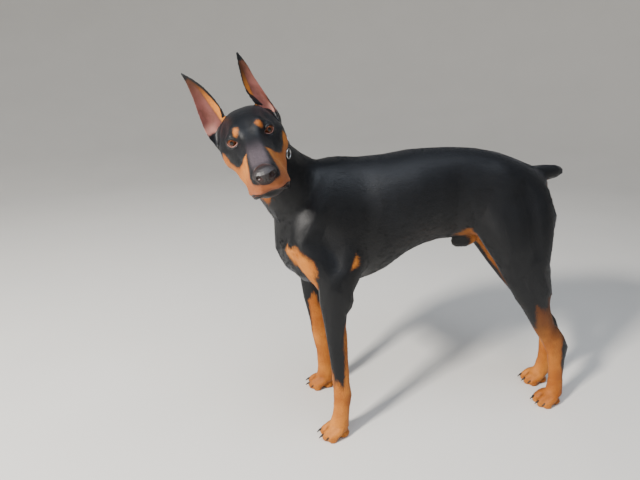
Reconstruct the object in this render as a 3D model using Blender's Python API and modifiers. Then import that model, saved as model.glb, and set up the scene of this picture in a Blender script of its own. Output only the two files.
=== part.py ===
"""Doberman pinscher, life size: a young male standing, with his head turned to his left.

The body is lofted from its own sections, fused into one skin with its muscles, and parted
by thin cuts into the named parts of the animal.  Lengths are in metres and +Z is up.
In the body frame the dog faces -X, his left side is -Y, and the floor is at Z = 0.
"""
import math

import bmesh
import bpy
import numpy as np
from mathutils import Matrix, Vector

# Driving dimensions
GAP = 0.0003                 # space between parts that touch
HEAD_LENGTH = 0.2575         # nose tip to the back of the skull
DRAWN_HEAD_LENGTH = 0.25     # the head tables below are drawn for this length
EYE_MID = (-0.4742, -0.2001, 0.7554)
HEAD_YAW = math.radians(6.3)         # the face looks along -Y, and this much past it
HEAD_PITCH = math.radians(10.5)      # nose down
HEAD_ROLL = math.radians(19.1)       # tilted to his right
EYE_RADIUS = 0.0115
EYE_SEGMENTS = 14
EYE_SPREAD = 0.0305
EYE_SPLAY = math.radians(20)
EAR_THICKNESS = 0.0036
COLLAR_WIDTH = 0.022
COLLAR_THICKNESS = 0.0036
COLLAR_INSIDE = 0.0002               # the leather lies this far off the drawn neck
COLLAR_CLEARANCE = 0.0013     # the metal stands this far off the leather's mean line
BUCKLE_ANGLE = math.radians(170)     # from his right side over the nape
RING_ANGLE = math.radians(200)
ORIGIN_SHIFT = Vector((0.1161, 0.1018, 0.0))   # brings the model's middle over the origin

FORE_PAW_TOP = 0.100         # height of the cut above each paw
HIND_PAW_TOP = 0.075
HOCK_CUT = 0.205

HEAD_SIZE = HEAD_LENGTH / DRAWN_HEAD_LENGTH

DOG = "doberman_pinscher"            # collection of the finished parts
CUTTERS = "cutters"                  # collection of everything else while it is in use
SHARP_ANGLE = math.radians(40)       # edges flatter than this are shaded round

# Triangles that each skin keeps
HEAD_TRIANGLES = 3000
BODY_TRIANGLES = 3300
PAW_TRIANGLES = 430

# x, top, bottom, half width, height of the widest point as a share of the depth
TORSO = (
    (-0.432, 0.545, 0.470, 0.026, 0.50),
    (-0.415, 0.600, 0.430, 0.052, 0.50),
    (-0.385, 0.636, 0.402, 0.076, 0.50),
    (-0.350, 0.665, 0.388, 0.090, 0.50),
    (-0.300, 0.678, 0.377, 0.098, 0.50),
    (-0.240, 0.677, 0.379, 0.102, 0.50),
    (-0.180, 0.681, 0.402, 0.103, 0.50),
    (-0.120, 0.6905, 0.446, 0.097, 0.48),
    (-0.060, 0.694, 0.470, 0.086, 0.48),
    (0.000, 0.694, 0.476, 0.078, 0.50),
    (0.050, 0.689, 0.480, 0.078, 0.52),
    (0.100, 0.678, 0.488, 0.082, 0.54),
    (0.150, 0.659, 0.500, 0.078, 0.55),
    (0.185, 0.643, 0.525, 0.062, 0.55),
    (0.210, 0.625, 0.560, 0.034, 0.55),
)

# Station along the neck, centre x y z, half width, rise to the nape, drop to the throat
NECK = (
    (0.0, -0.285, 0.000, 0.560, 0.078, 0.100, 0.120),
    (1.0, -0.350, -0.002, 0.590, 0.071, 0.086, 0.098),
    (2.0, -0.400, -0.018, 0.632, 0.063, 0.070, 0.078),
    (3.0, -0.435, -0.050, 0.674, 0.057, 0.061, 0.067),
    (4.0, -0.459, -0.084, 0.713, 0.053, 0.055, 0.059),
    (5.0, -0.473, -0.116, 0.745, 0.048, 0.046, 0.052),
    (6.0, -0.478, -0.140, 0.758, 0.042, 0.036, 0.044),
)
NECK_STATION_LENGTH = 0.047          # where the collar lies
NAPE_LOW = Vector((0.50, 0.00, 0.87))
NAPE_HIGH = Vector((-0.29, 0.54, 0.78))
COLLAR_STATION = 4.05                # the head and the neck part under the collar

# z, front x, back x, inner y, outer y; y is the distance from the middle of the dog
LEFT_HIND_LEG = (
    (0.600, 0.062, 0.190, 0.020, 0.078),
    (0.560, 0.050, 0.220, 0.020, 0.094),
    (0.500, 0.036, 0.226, 0.016, 0.103),
    (0.460, 0.062, 0.224, 0.020, 0.103),
    (0.430, 0.085, 0.227, 0.026, 0.100),
    (0.394, 0.105, 0.231, 0.034, 0.098),
    (0.360, 0.128, 0.238, 0.043, 0.096),
    (0.332, 0.145, 0.244, 0.047, 0.093),
    (0.300, 0.171, 0.250, 0.048, 0.088),
    (0.264, 0.195, 0.267, 0.048, 0.082),
    (0.233, 0.216, 0.288, 0.045, 0.077),
    (0.202, 0.240, 0.312, 0.043, 0.074),
    (0.177, 0.256, 0.325, 0.042, 0.073),
    (0.155, 0.267, 0.324, 0.041, 0.072),
    (0.107, 0.281, 0.326, 0.041, 0.070),
    (0.058, 0.287, 0.330, 0.041, 0.072),
    (0.026, 0.283, 0.332, 0.040, 0.078),
)
RIGHT_HIND_LEG = (
    (0.600, 0.062, 0.190, 0.020, 0.078),
    (0.560, 0.050, 0.220, 0.020, 0.094),
    (0.500, 0.036, 0.226, 0.016, 0.103),
    (0.460, 0.064, 0.225, 0.020, 0.102),
    (0.430, 0.091, 0.229, 0.026, 0.098),
    (0.394, 0.117, 0.236, 0.033, 0.094),
    (0.360, 0.146, 0.248, 0.040, 0.090),
    (0.332, 0.169, 0.258, 0.043, 0.086),
    (0.300, 0.198, 0.272, 0.042, 0.080),
    (0.264, 0.228, 0.298, 0.038, 0.071),
    (0.233, 0.253, 0.324, 0.034, 0.065),
    (0.202, 0.277, 0.350, 0.030, 0.061),
    (0.177, 0.292, 0.362, 0.027, 0.058),
    (0.155, 0.301, 0.360, 0.025, 0.056),
    (0.107, 0.309, 0.356, 0.022, 0.052),
    (0.058, 0.307, 0.352, 0.019, 0.051),
    (0.026, 0.300, 0.350, 0.018, 0.056),
)
LEFT_FORELEG = (
    (0.440, -0.346, -0.262, 0.066, 0.126),
    (0.405, -0.344, -0.264, 0.074, 0.128),
    (0.374, -0.342, -0.266, 0.082, 0.126),
    (0.345, -0.337, -0.273, 0.085, 0.123),
    (0.320, -0.332, -0.275, 0.087, 0.121),
    (0.280, -0.326, -0.273, 0.089, 0.118),
    (0.240, -0.320, -0.2705, 0.090, 0.117),
    (0.204, -0.315, -0.2695, 0.090, 0.117),
    (0.176, -0.312, -0.268, 0.088, 0.119),
    (0.150, -0.310, -0.265, 0.087, 0.120),
    (0.128, -0.308, -0.2605, 0.088, 0.119),
    (0.110, -0.307, -0.260, 0.089, 0.118),
    (0.090, -0.3065, -0.264, 0.090, 0.118),
    (0.063, -0.309, -0.266, 0.089, 0.120),
    (0.030, -0.318, -0.266, 0.086, 0.124),
)
RIGHT_FORELEG = (
    (0.440, -0.372, -0.286, 0.066, 0.126),
    (0.405, -0.371, -0.289, 0.074, 0.128),
    (0.374, -0.370, -0.292, 0.082, 0.126),
    (0.345, -0.367, -0.300, 0.084, 0.121),
    (0.320, -0.363, -0.304, 0.084, 0.119),
    (0.286, -0.358, -0.303, 0.083, 0.114),
    (0.252, -0.350, -0.298, 0.082, 0.111),
    (0.215, -0.342, -0.294, 0.082, 0.110),
    (0.180, -0.336, -0.290, 0.080, 0.112),
    (0.155, -0.332, -0.286, 0.079, 0.112),
    (0.128, -0.326, -0.278, 0.080, 0.111),
    (0.110, -0.323, -0.276, 0.081, 0.110),
    (0.085, -0.320, -0.277, 0.082, 0.110),
    (0.055, -0.320, -0.276, 0.081, 0.112),
    (0.030, -0.325, -0.275, 0.078, 0.116),
)

# x, crown, ridge y z, side y z, lip y z, palate; the head's own axes, from between the eyes
HEAD = (
    (-0.118, -0.004, 0.010, -0.008, 0.016, -0.020, 0.012, -0.036, -0.042),
    (-0.108, 0.012, 0.019, 0.006, 0.032, -0.014, 0.030, -0.048, -0.060),
    (-0.090, 0.023, 0.026, 0.017, 0.045, -0.010, 0.042, -0.052, -0.066),
    (-0.065, 0.029, 0.030, 0.024, 0.053, -0.010, 0.046, -0.054, -0.066),
    (-0.035, 0.031, 0.030, 0.026, 0.057, -0.016, 0.047, -0.056, -0.066),
    (-0.010, 0.028, 0.027, 0.023, 0.051, -0.022, 0.044, -0.057, -0.064),
    (0.010, 0.020, 0.023, 0.0170, 0.0420, -0.026, 0.0425, -0.058, -0.060),
    (0.030, 0.009, 0.018, 0.0045, 0.0360, -0.030, 0.0390, -0.060, -0.055),
    (0.055, 0.001, 0.0165, -0.003, 0.0310, -0.031, 0.0350, -0.063, -0.052),
    (0.080, -0.003, 0.0165, -0.007, 0.0285, -0.032, 0.0330, -0.066, -0.051),
    (0.102, -0.006, 0.0160, -0.010, 0.0265, -0.033, 0.0300, -0.065, -0.050),
    (0.118, -0.010, 0.0150, -0.0135, 0.0235, -0.034, 0.0260, -0.059, -0.050),
    (0.126, -0.0155, 0.0125, -0.019, 0.0190, -0.034, 0.0200, -0.052, -0.048),
    (0.131, -0.022, 0.0080, -0.025, 0.0120, -0.034, 0.0120, -0.044, -0.044),
)
# x, half width, top, bottom
JAW = (
    (-0.060, 0.034, -0.030, -0.076),
    (-0.040, 0.040, -0.030, -0.081),
    (-0.015, 0.038, -0.035, -0.082),
    (0.010, 0.034, -0.045, -0.080),
    (0.040, 0.027, -0.047, -0.0765),
    (0.070, 0.0240, -0.048, -0.0735),
    (0.095, 0.0220, -0.048, -0.0710),
    (0.112, 0.0180, -0.048, -0.0680),
    (0.121, 0.0100, -0.050, -0.0610),
)
# Side view of the mouth's line, front to back, then down behind the corner of the mouth
MOUTH = ((0.150, -0.0500), (0.119, -0.0505), (0.102, -0.0585), (0.076, -0.0650),
         (0.050, -0.0640), (0.026, -0.0590), (0.010, -0.0640), (-0.004, -0.0950),
         (-0.010, -0.1300))
LIP_PARTING = 0.0009         # the mouth is closed, and shows as a fine line

# Share of the ear's height, front edge x y z, rear edge x y z, depth of the cup, and flesh
# behind the cup besides the ear's own thickness
RIGHT_EAR = (
    (-0.22, -0.062, -0.028, -0.006, -0.054, -0.042, -0.046, 0.016, 0.010),
    (-0.10, -0.060, -0.029, 0.012, -0.052, -0.058, -0.028, 0.020, 0.010),
    (0.06, -0.062, -0.0285, 0.030, -0.060, -0.0705, -0.003, 0.021, 0.008),
    (0.25, -0.068, -0.0310, 0.046, -0.070, -0.0735, 0.022, 0.018, 0.004),
    (0.45, -0.076, -0.0370, 0.064, -0.080, -0.0730, 0.047, 0.013, 0.0015),
    (0.65, -0.084, -0.0470, 0.084, -0.088, -0.0715, 0.070, 0.008, 0.0005),
    (0.85, -0.092, -0.0600, 0.1005, -0.094, -0.0720, 0.094, 0.004, 0.0),
    (1.00, -0.098, -0.0720, 0.1125, -0.099, -0.0745, 0.1110, 0.001, 0.0),
)
LEFT_EAR = (
    (-0.22, -0.062, 0.0280, -0.008, -0.054, 0.0420, -0.046, 0.016, 0.010),
    (-0.10, -0.060, 0.0300, 0.010, -0.052, 0.0530, -0.028, 0.020, 0.010),
    (0.06, -0.062, 0.0270, 0.028, -0.060, 0.0600, -0.003, 0.020, 0.008),
    (0.25, -0.068, 0.0215, 0.044, -0.070, 0.0560, 0.020, 0.018, 0.004),
    (0.45, -0.076, 0.0195, 0.062, -0.080, 0.0500, 0.045, 0.012, 0.0015),
    (0.65, -0.084, 0.0215, 0.080, -0.088, 0.0440, 0.068, 0.008, 0.0005),
    (0.85, -0.092, 0.0245, 0.100, -0.094, 0.0395, 0.092, 0.004, 0.0),
    (1.00, -0.098, 0.0275, 0.1125, -0.099, 0.0320, 0.1130, 0.001, 0.0),
)

# Swellings and hollows of both sides of the head: place, reach, height along the skin's normal
FACE = (
    ((-0.002, 0.0235, 0.020), 0.011, 0.0022),    # brow
    ((0.018, 0.0270, 0.002), 0.011, -0.0042),    # in front of the inner corner of the eye
    ((0.022, 0.0340, -0.014), 0.014, -0.0020),   # below the eye
    ((-0.022, 0.0400, 0.014), 0.014, -0.0022),   # temple, behind the eye
    ((-0.024, 0.0570, -0.018), 0.016, 0.0020),   # cheek bone
    ((-0.036, 0.0500, -0.050), 0.024, 0.0045),   # chewing muscle
    ((0.098, 0.0300, -0.046), 0.018, 0.0028),    # whisker pad
    ((0.060, 0.0330, -0.045), 0.018, -0.0012),   # behind the whisker pad
    ((-0.112, 0.0000, 0.012), 0.014, 0.0020),    # back of the skull
)

# Muscles as start, end, deep radius, side radius; y is the distance from the middle
MUSCLES = {
    "scapula": ((-0.285, 0.054, 0.615), (-0.372, 0.070, 0.515), 0.046, 0.034),
    "upper_arm": ((-0.368, 0.078, 0.490), (-0.305, 0.090, 0.410), 0.038, 0.033),
    "triceps": ((-0.262, 0.072, 0.510), (-0.286, 0.090, 0.400), 0.038, 0.030),
    "pectoral": ((-0.390, 0.032, 0.505), (-0.362, 0.052, 0.435), 0.036, 0.032),
    "gluteal": ((0.060, 0.046, 0.625), (0.155, 0.058, 0.575), 0.040, 0.028),
    "quadriceps": ((0.065, 0.066, 0.570), (0.112, 0.072, 0.440), 0.034, 0.031),
    "hamstring": ((0.185, 0.056, 0.590), (0.200, 0.068, 0.430), 0.026, 0.032),
    "calf": ((0.190, 0.070, 0.390), (0.225, 0.066, 0.300), 0.022, 0.021),
    "loin": ((-0.100, 0.034, 0.645), (0.060, 0.034, 0.648), 0.034, 0.032),
    "ribs": ((-0.250, 0.050, 0.520), (-0.140, 0.048, 0.555), 0.085, 0.049),
}

BLACK_COAT = ((0.012, 0.012, 0.015), 0.35, 0.0)
RUST_COAT = ((0.34, 0.13, 0.035), 0.50, 0.0)
EAR_SKIN = ((0.25, 0.11, 0.08), 0.55, 0.0)
NOSE_SKIN = ((0.035, 0.025, 0.024), 0.30, 0.0)
EYE_GLASS = ((0.10, 0.035, 0.012), 0.05, 0.0)
CLAW_HORN = ((0.02, 0.018, 0.017), 0.35, 0.0)
LEATHER = ((0.015, 0.015, 0.016), 0.50, 0.0)
STEEL = ((0.60, 0.60, 0.60), 0.25, 1.0)


def clear_scene():
    """An empty file to build in."""
    for item in list(bpy.data.objects):
        bpy.data.objects.remove(item)


def head_axes():
    """The head's forward, left and up directions in the body frame."""
    forward = Vector((math.sin(HEAD_YAW) * math.cos(HEAD_PITCH),
                      -math.cos(HEAD_YAW) * math.cos(HEAD_PITCH),
                      -math.sin(HEAD_PITCH)))
    level_left = Vector((0, 0, 1)).cross(forward).normalized()
    level_up = forward.cross(level_left)
    left = level_left * math.cos(HEAD_ROLL) + level_up * math.sin(HEAD_ROLL)
    up = level_up * math.cos(HEAD_ROLL) - level_left * math.sin(HEAD_ROLL)
    return Matrix((forward, left, up)).transposed()


HEAD_AXES = head_axes()
HEAD_PLACE = (Matrix.Translation(EYE_MID) @ HEAD_AXES.to_4x4()
              @ Matrix.Scale(HEAD_SIZE, 4))


def smooth_rows(rows, samples):
    """The rows read at the sampled keys, on smooth curves through every column."""
    table = np.array(sorted(rows), float)
    keys = table[:, 0]
    slopes = np.gradient(table, keys, axis=0)
    samples = np.atleast_1d(samples)
    start = np.clip(np.searchsorted(keys, samples, side="right") - 1, 0, len(keys) - 2)
    step = (keys[start + 1] - keys[start])[:, None]
    t = ((samples - keys[start]) / step[:, 0])[:, None]
    return ((2 * t ** 3 - 3 * t ** 2 + 1) * table[start]
            + (t ** 3 - 2 * t ** 2 + t) * step * slopes[start]
            + (3 * t ** 2 - 2 * t ** 3) * table[start + 1]
            + (t ** 3 - t ** 2) * step * slopes[start + 1])


def spread(rows, count):
    """Evenly spaced rows of a table, end to end."""
    keys = [row[0] for row in rows]
    return smooth_rows(rows, np.linspace(min(keys), max(keys), count))


def closed_curve(points, count):
    """A loop of count points on a smooth curve through a few."""
    points = np.array(points, float)
    places = np.linspace(0, len(points), count, endpoint=False)
    index = places.astype(int)
    t = (places - index)[:, None]
    before, here, after, beyond = (points[(index + k) % len(points)] for k in (-1, 0, 1, 2))
    return 0.5 * (2 * here + (after - before) * t
                  + (2 * before - 5 * here + 4 * after - beyond) * t ** 2
                  + (3 * here - before - 3 * after + beyond) * t ** 3)


def egg_ring(centre, side, up, half_width, rise, drop, top_square=2.2, low_square=1.9):
    """One section: a rounded form that rises and drops from its widest line."""
    angles = np.linspace(0, 2 * math.pi, 28, endpoint=False)
    across, height = np.cos(angles), np.sin(angles)
    square = np.where(height >= 0, top_square, low_square)
    across = half_width * np.sign(across) * np.abs(across) ** (2 / square)
    reach = np.where(height >= 0, rise, drop)
    height = reach * np.sign(height) * np.abs(height) ** (2 / square)
    return np.outer(across, side) + np.outer(height, up) + np.array(centre)


def collection(name):
    """The collection of that name, made when it is first asked for."""
    found = bpy.data.collections.get(name)
    if not found:
        found = bpy.data.collections.new(name)
        bpy.context.scene.collection.children.link(found)
    return found


def new_object(name, mesh):
    """An object of its own for a mesh, kept with the cutters until it is a finished part."""
    obj = bpy.data.objects.new(name, mesh)
    collection(CUTTERS).objects.link(obj)
    return obj


def from_bmesh(name, shape):
    """An object from a bmesh, which is closed and turned right side out first."""
    bmesh.ops.recalc_face_normals(shape, faces=shape.faces)
    mesh = bpy.data.meshes.new(name)
    shape.to_mesh(mesh)
    shape.free()
    return new_object(name, mesh)


def loft(name, rings):
    """A closed skin over a run of rings."""
    shape = bmesh.new()
    loops = [[shape.verts.new(point) for point in ring] for ring in rings]
    for first, second in zip(loops, loops[1:]):
        for i in range(len(first)):
            shape.faces.new((first[i - 1], first[i], second[i], second[i - 1]))
    shape.faces.new(loops[0])
    shape.faces.new(loops[-1])
    return from_bmesh(name, shape)


def ellipsoid(name, centre, radii, axes=None, segments=24):
    """A ball stretched along its own axes."""
    shape = bmesh.new()
    turn = axes.to_4x4() if axes else Matrix.Identity(4)
    place = Matrix.Translation(centre) @ turn @ Matrix.Diagonal((*radii, 1))
    bmesh.ops.create_uvsphere(shape, u_segments=segments, v_segments=segments // 2,
                              radius=1, matrix=place)
    return from_bmesh(name, shape)


def belly(name, start, end, deep, side):
    """A muscle: a ball drawn out from start to end, flattened across the body."""
    start, end = Vector(start), Vector(end)
    along = (end - start).normalized()
    across = Vector((0, 1, 0))
    across = (across - along * across.dot(along)).normalized()
    axes = Matrix((along, across, along.cross(across))).transposed()
    reach = (end - start).length / 2 + deep
    return ellipsoid(name, (start + end) / 2, (reach, side, deep), axes)


def in_head(obj):
    """Moves a piece drawn in the head's own axes to its place."""
    obj.data.transform(HEAD_PLACE)
    return obj


def box(name, centre, size, axes=None):
    """A plain block, turned to its own axes."""
    shape = bmesh.new()
    turn = axes.to_4x4() if axes else Matrix.Identity(4)
    place = Matrix.Translation(centre) @ turn @ Matrix.Diagonal((*size, 1))
    bmesh.ops.create_cube(shape, size=1, matrix=place)
    return from_bmesh(name, shape)


def slab(name, centre, normal, size=(0.3, 0.3)):
    """A cut as thin as the gap between parts, square to its normal."""
    normal = Vector(normal).normalized()
    side = Vector((0, 1, 0))
    side = (side - normal * side.dot(normal)).normalized()
    axes = Matrix((normal.cross(side), side, normal)).transposed()
    return box(name, centre, (size[0], size[1], GAP), axes)


def modified(obj, kind, **settings):
    """The object with one modifier applied to its mesh."""
    modifier = obj.modifiers.new(kind.title(), kind)
    for key, value in settings.items():
        setattr(modifier, key, value)
    graph = bpy.context.evaluated_depsgraph_get()
    mesh = bpy.data.meshes.new_from_object(obj.evaluated_get(graph), depsgraph=graph)
    obj.modifiers.clear()
    obj.data = mesh
    return obj


def remove(*objects):
    """Takes helpers out of the file."""
    for obj in objects:
        bpy.data.objects.remove(obj)


def duplicate(obj):
    """A copy with a mesh of its own."""
    return new_object(obj.name + "_copy", obj.data.copy())


def swollen(obj, by=GAP):
    """A copy grown outward, to cut its neighbour clear of it."""
    return modified(duplicate(obj), "DISPLACE", strength=by * 1.3, mid_level=0)


def cut(obj, *cutters, solver="EXACT"):
    """Takes the cutters away from a solid.

    The head, nose, ears, claws and collar use MANIFOLD, because EXACT leaves loose scraps
    where their thin walls cross.
    """
    for cutter in cutters:
        modified(obj, "BOOLEAN", operation="DIFFERENCE", object=cutter, solver=solver)
    remove(*cutters)
    return obj


def join(obj, *additions, solver="EXACT"):
    """Fuses closed pieces with a solid."""
    for addition in additions:
        modified(obj, "BOOLEAN", operation="UNION", object=addition, solver=solver)
    remove(*additions)
    return obj


def gathered(name, pieces):
    """One object that holds the meshes of several."""
    shape = bmesh.new()
    for piece in pieces:
        shape.from_mesh(piece.data)
    mesh = bpy.data.meshes.new(name)
    shape.to_mesh(mesh)
    shape.free()
    remove(*pieces)
    return new_object(name, mesh)


def fused(name, pieces, voxel, fillet, rounds):
    """One skin over overlapping pieces, with the creases between them filled."""
    skin = gathered(name, pieces)
    modified(skin, "REMESH", mode="VOXEL", voxel_size=voxel)
    for reach in (fillet, -fillet):
        modified(skin, "DISPLACE", strength=reach, mid_level=0)
        modified(skin, "REMESH", mode="VOXEL", voxel_size=voxel)
    modified(skin, "SMOOTH", factor=0.5, iterations=rounds)
    return skin


def moulded(obj, swellings):
    """The skin pushed out or in along its normals, fading with the distance from each place."""
    count = len(obj.data.vertices)
    places, normals = np.empty(3 * count), np.empty(3 * count)
    obj.data.vertices.foreach_get("co", places)
    obj.data.vertices.foreach_get("normal", normals)
    places, normals = places.reshape(-1, 3), normals.reshape(-1, 3)
    height = np.zeros(count)
    for place, reach, rise in swellings:
        away = np.linalg.norm(places - np.array(place), axis=1)
        height += rise * np.exp(-(away / reach) ** 2)
    obj.data.vertices.foreach_set("co", (places + normals * height[:, None]).ravel())
    return obj


def thinned(obj, triangles):
    """The skin with fewer triangles, most of them where it bends."""
    modified(obj, "TRIANGULATE")
    return modified(obj, "DECIMATE", ratio=triangles / len(obj.data.polygons))


def shells(obj):
    """The closed surfaces of an object, each as an object of its own."""
    shape = bmesh.new()
    shape.from_mesh(obj.data)
    waiting = set(shape.verts)
    found = []
    while waiting:
        stack = [waiting.pop()]
        island = set(stack)
        while stack:
            for edge in stack.pop().link_edges:
                for vert in edge.verts:
                    if vert not in island:
                        island.add(vert)
                        stack.append(vert)
        waiting -= island
        found.append(island)
    pieces = []
    for island in found:
        if len(island) < 12:
            continue
        part = bmesh.new()
        match = {vert: part.verts.new(vert.co) for vert in sorted(island, key=lambda v: v.index)}
        for face in shape.faces:
            if face.verts[0] in island:
                part.faces.new([match[vert] for vert in face.verts])
        mesh = bpy.data.meshes.new(obj.name)
        part.to_mesh(mesh)
        part.free()
        pieces.append(new_object(obj.name, mesh))
    shape.free()
    remove(obj)
    return pieces


def middle(obj):
    """The middle of a piece's box."""
    corners = np.array([vert.co for vert in obj.data.vertices])
    return Vector((corners.min(axis=0) + corners.max(axis=0)) / 2)


def span(obj):
    """The diagonal of a piece's box."""
    corners = np.array([vert.co for vert in obj.data.vertices])
    return float(np.linalg.norm(corners.max(axis=0) - corners.min(axis=0)))


def largest(obj):
    """Keeps the largest closed surface of an object, under the same name."""
    name = obj.name
    pieces = sorted(shells(obj), key=span)
    remove(*pieces[:-1])
    pieces[-1].name = name
    return pieces[-1]


def named_pieces(obj, labels):
    """Names each closed surface by the label whose point lies nearest its middle."""
    parts = {}
    for piece in sorted(shells(obj), key=span, reverse=True):
        name = min(labels, key=lambda key: (Vector(labels[key]) - middle(piece)).length)
        if name in parts:
            remove(piece)
            continue
        piece.name = name
        parts[name] = piece
    return parts


def torso():
    """Rib cage, belly and loin, from the breast to the rump."""
    rings = []
    for x, top, bottom, half_width, widest in spread(TORSO, 60):
        centre_z = bottom + (top - bottom) * widest
        rings.append(egg_ring((x, 0, centre_z), (0, 1, 0), (0, 0, 1), half_width,
                              top - centre_z, centre_z - bottom, 2.3, 1.75))
    return loft("torso", rings)


def neck_frame(station):
    """Centre, side, nape and forward directions, and half sizes, at a neck station."""
    row = smooth_rows(NECK, station)[0]
    ahead = smooth_rows(NECK, station + 0.02)[0] if station < 5.9 else row
    behind = smooth_rows(NECK, station - 0.02)[0] if station > 0.1 else row
    along = Vector(ahead[1:4] - behind[1:4]).normalized()
    nape = NAPE_LOW.lerp(NAPE_HIGH, min(max(station / 5, 0), 1))
    nape = (nape - along * nape.dot(along)).normalized()
    return Vector(row[1:4]), along.cross(nape), nape, along, row[4:7]


def neck(first, last):
    """The neck from one station to another."""
    rings = []
    for station in np.linspace(first, last, 24):
        centre, side, nape, _, (half_width, rise, drop) = neck_frame(float(station))
        rings.append(egg_ring(centre, side, nape, half_width, rise, drop, 2.0, 2.1))
    return loft("neck", rings)


def leg(name, rows, side, lowest, highest):
    """A leg from its level sections; side is -1 for the left."""
    rings = []
    for z in np.linspace(lowest, highest, 56):
        _, front, back, inner, outer = smooth_rows(rows, z)[0]
        centre = ((front + back) / 2, side * (inner + outer) / 2, z)
        half = (back - front) / 2
        rings.append(egg_ring(centre, (0, 1, 0), (1, 0, 0), (outer - inner) / 2, half, half,
                              2.1, 2.0))
    return loft(name, rings)


def muscle(name, side, shift=0.0):
    """One of the named muscles, on the left or right side."""
    start, end, deep, wide = MUSCLES[name]
    mirrored = [(x + shift, side * y, z) for x, y, z in (start, end)]
    return belly(name, *mirrored, deep, wide)


def tail_stub():
    """The docked tail, carried level."""
    rings = []
    for t in np.linspace(0, 1, 12):
        centre = (0.165 + 0.095 * t, 0, 0.618 + 0.012 * t + 0.004 * math.sin(math.pi * t))
        radius = 0.026 - 0.010 * t
        if t > 0.9:
            radius *= 0.75
        rings.append(egg_ring(centre, (0, 1, 0), (0.1, 0, 1), radius * 0.92, radius, radius))
    return loft("tail", rings)


def body_skin():
    """Torso, neck, legs and tail as one skin."""
    pieces = [torso(), neck(0, 4.6), tail_stub()]
    for side, fore, hind in ((-1, LEFT_FORELEG, LEFT_HIND_LEG),
                             (1, RIGHT_FORELEG, RIGHT_HIND_LEG)):
        fore_shift = fore[0][1] - LEFT_FORELEG[0][1]
        pieces.append(leg("foreleg", fore, side, 0.05, 0.44))
        pieces.append(leg("hind_leg", hind, side, 0.04, 0.60))
        for name in ("scapula", "pectoral", "gluteal", "quadriceps", "hamstring", "loin",
                     "ribs"):
            pieces.append(muscle(name, side))
        for name in ("upper_arm", "triceps"):
            pieces.append(muscle(name, side, fore_shift * 0.7))
    return fused("body", pieces, 0.003, 0.012, 6)


def head_rings():
    """Sections of the skull and muzzle in the head's own axes."""
    for x, crown, ridge_y, ridge_z, side_y, side_z, lip_y, lip_z, palate in spread(HEAD, 64):
        half = [(ridge_y, ridge_z), (side_y, side_z), (lip_y, lip_z)]
        outline = [(0, crown)] + half + [(0, palate)] + [(-y, z) for y, z in reversed(half)]
        loop = closed_curve(outline, 40)
        yield np.column_stack((np.full(len(loop), x), loop))


def jaw_rings():
    """Sections of the lower jaw in the head's own axes."""
    for x, half_width, top, bottom in spread(JAW, 40):
        centre_z = (top + bottom) / 2
        half = (top - bottom) / 2
        yield egg_ring((x, 0, centre_z), (0, 1, 0), (0, 0, 1), half_width, half, half, 2.6, 2.2)


def eye_frame(side):
    """Centre of the eyeball and its own axes, side -1 for his right."""
    centre = Vector((-0.003, side * EYE_SPREAD, 0.0))
    forward = Vector((math.cos(EYE_SPLAY), side * math.sin(EYE_SPLAY), 0.0))
    up = Vector((0, 0, 1))
    return centre, Matrix((forward, up.cross(forward), up)).transposed()


def lid_points(side, reach, width, height, count):
    """The almond edge of the lids, on a ball of the given radius round the eye."""
    centre, axes = eye_frame(side)
    tilt = math.radians(10) * side
    points = []
    for i in range(count):
        angle = 2 * math.pi * i / count
        across = width * math.cos(angle)
        rise = height * math.sin(angle) * (1 - 0.15 * abs(math.cos(angle)))
        y = across * math.cos(tilt) - rise * math.sin(tilt)
        z = across * math.sin(tilt) + rise * math.cos(tilt)
        points.append(centre + axes @ Vector((math.sqrt(reach ** 2 - y * y - z * z), y, z)))
    return points


def hoop(name, path, centre, radius, sides):
    """A tube bent into a closed loop round a centre."""
    shape = bmesh.new()
    loops = []
    for i, point in enumerate(path):
        along = (path[(i + 1) % len(path)] - path[i - 1]).normalized()
        outward = (point - centre).normalized()
        across = along.cross(outward)
        angles = [2 * math.pi * k / sides for k in range(sides)]
        loops.append([shape.verts.new(point + outward * radius * math.cos(a)
                                      + across * radius * math.sin(a)) for a in angles])
    for i in range(len(loops)):
        first, second = loops[i - 1], loops[i]
        for k in range(sides):
            shape.faces.new((first[k - 1], first[k], second[k], second[k - 1]))
    return from_bmesh(name, shape)


def lid_rim(side):
    """The rim of both lids round the almond opening."""
    path = lid_points(side, EYE_RADIUS + 0.0010, 0.0099, 0.0077, 18)
    return in_head(hoop("lid_rim", path, eye_frame(side)[0], 0.0020, 6))


def socket(side):
    """What the eye takes out of the head: its ball and the opening of the lids."""
    centre, axes = eye_frame(side)
    ball = ellipsoid("socket", centre, (EYE_RADIUS + 1.2 * GAP,) * 3, axes, EYE_SEGMENTS)
    edge = EYE_RADIUS + 0.0018
    opening = loft("opening", [lid_points(side, reach, 0.0084 * reach / edge,
                                          0.0062 * reach / edge, 18)
                               for reach in (0.009, 0.022)])
    return in_head(join(ball, opening, solver="MANIFOLD"))


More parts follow.
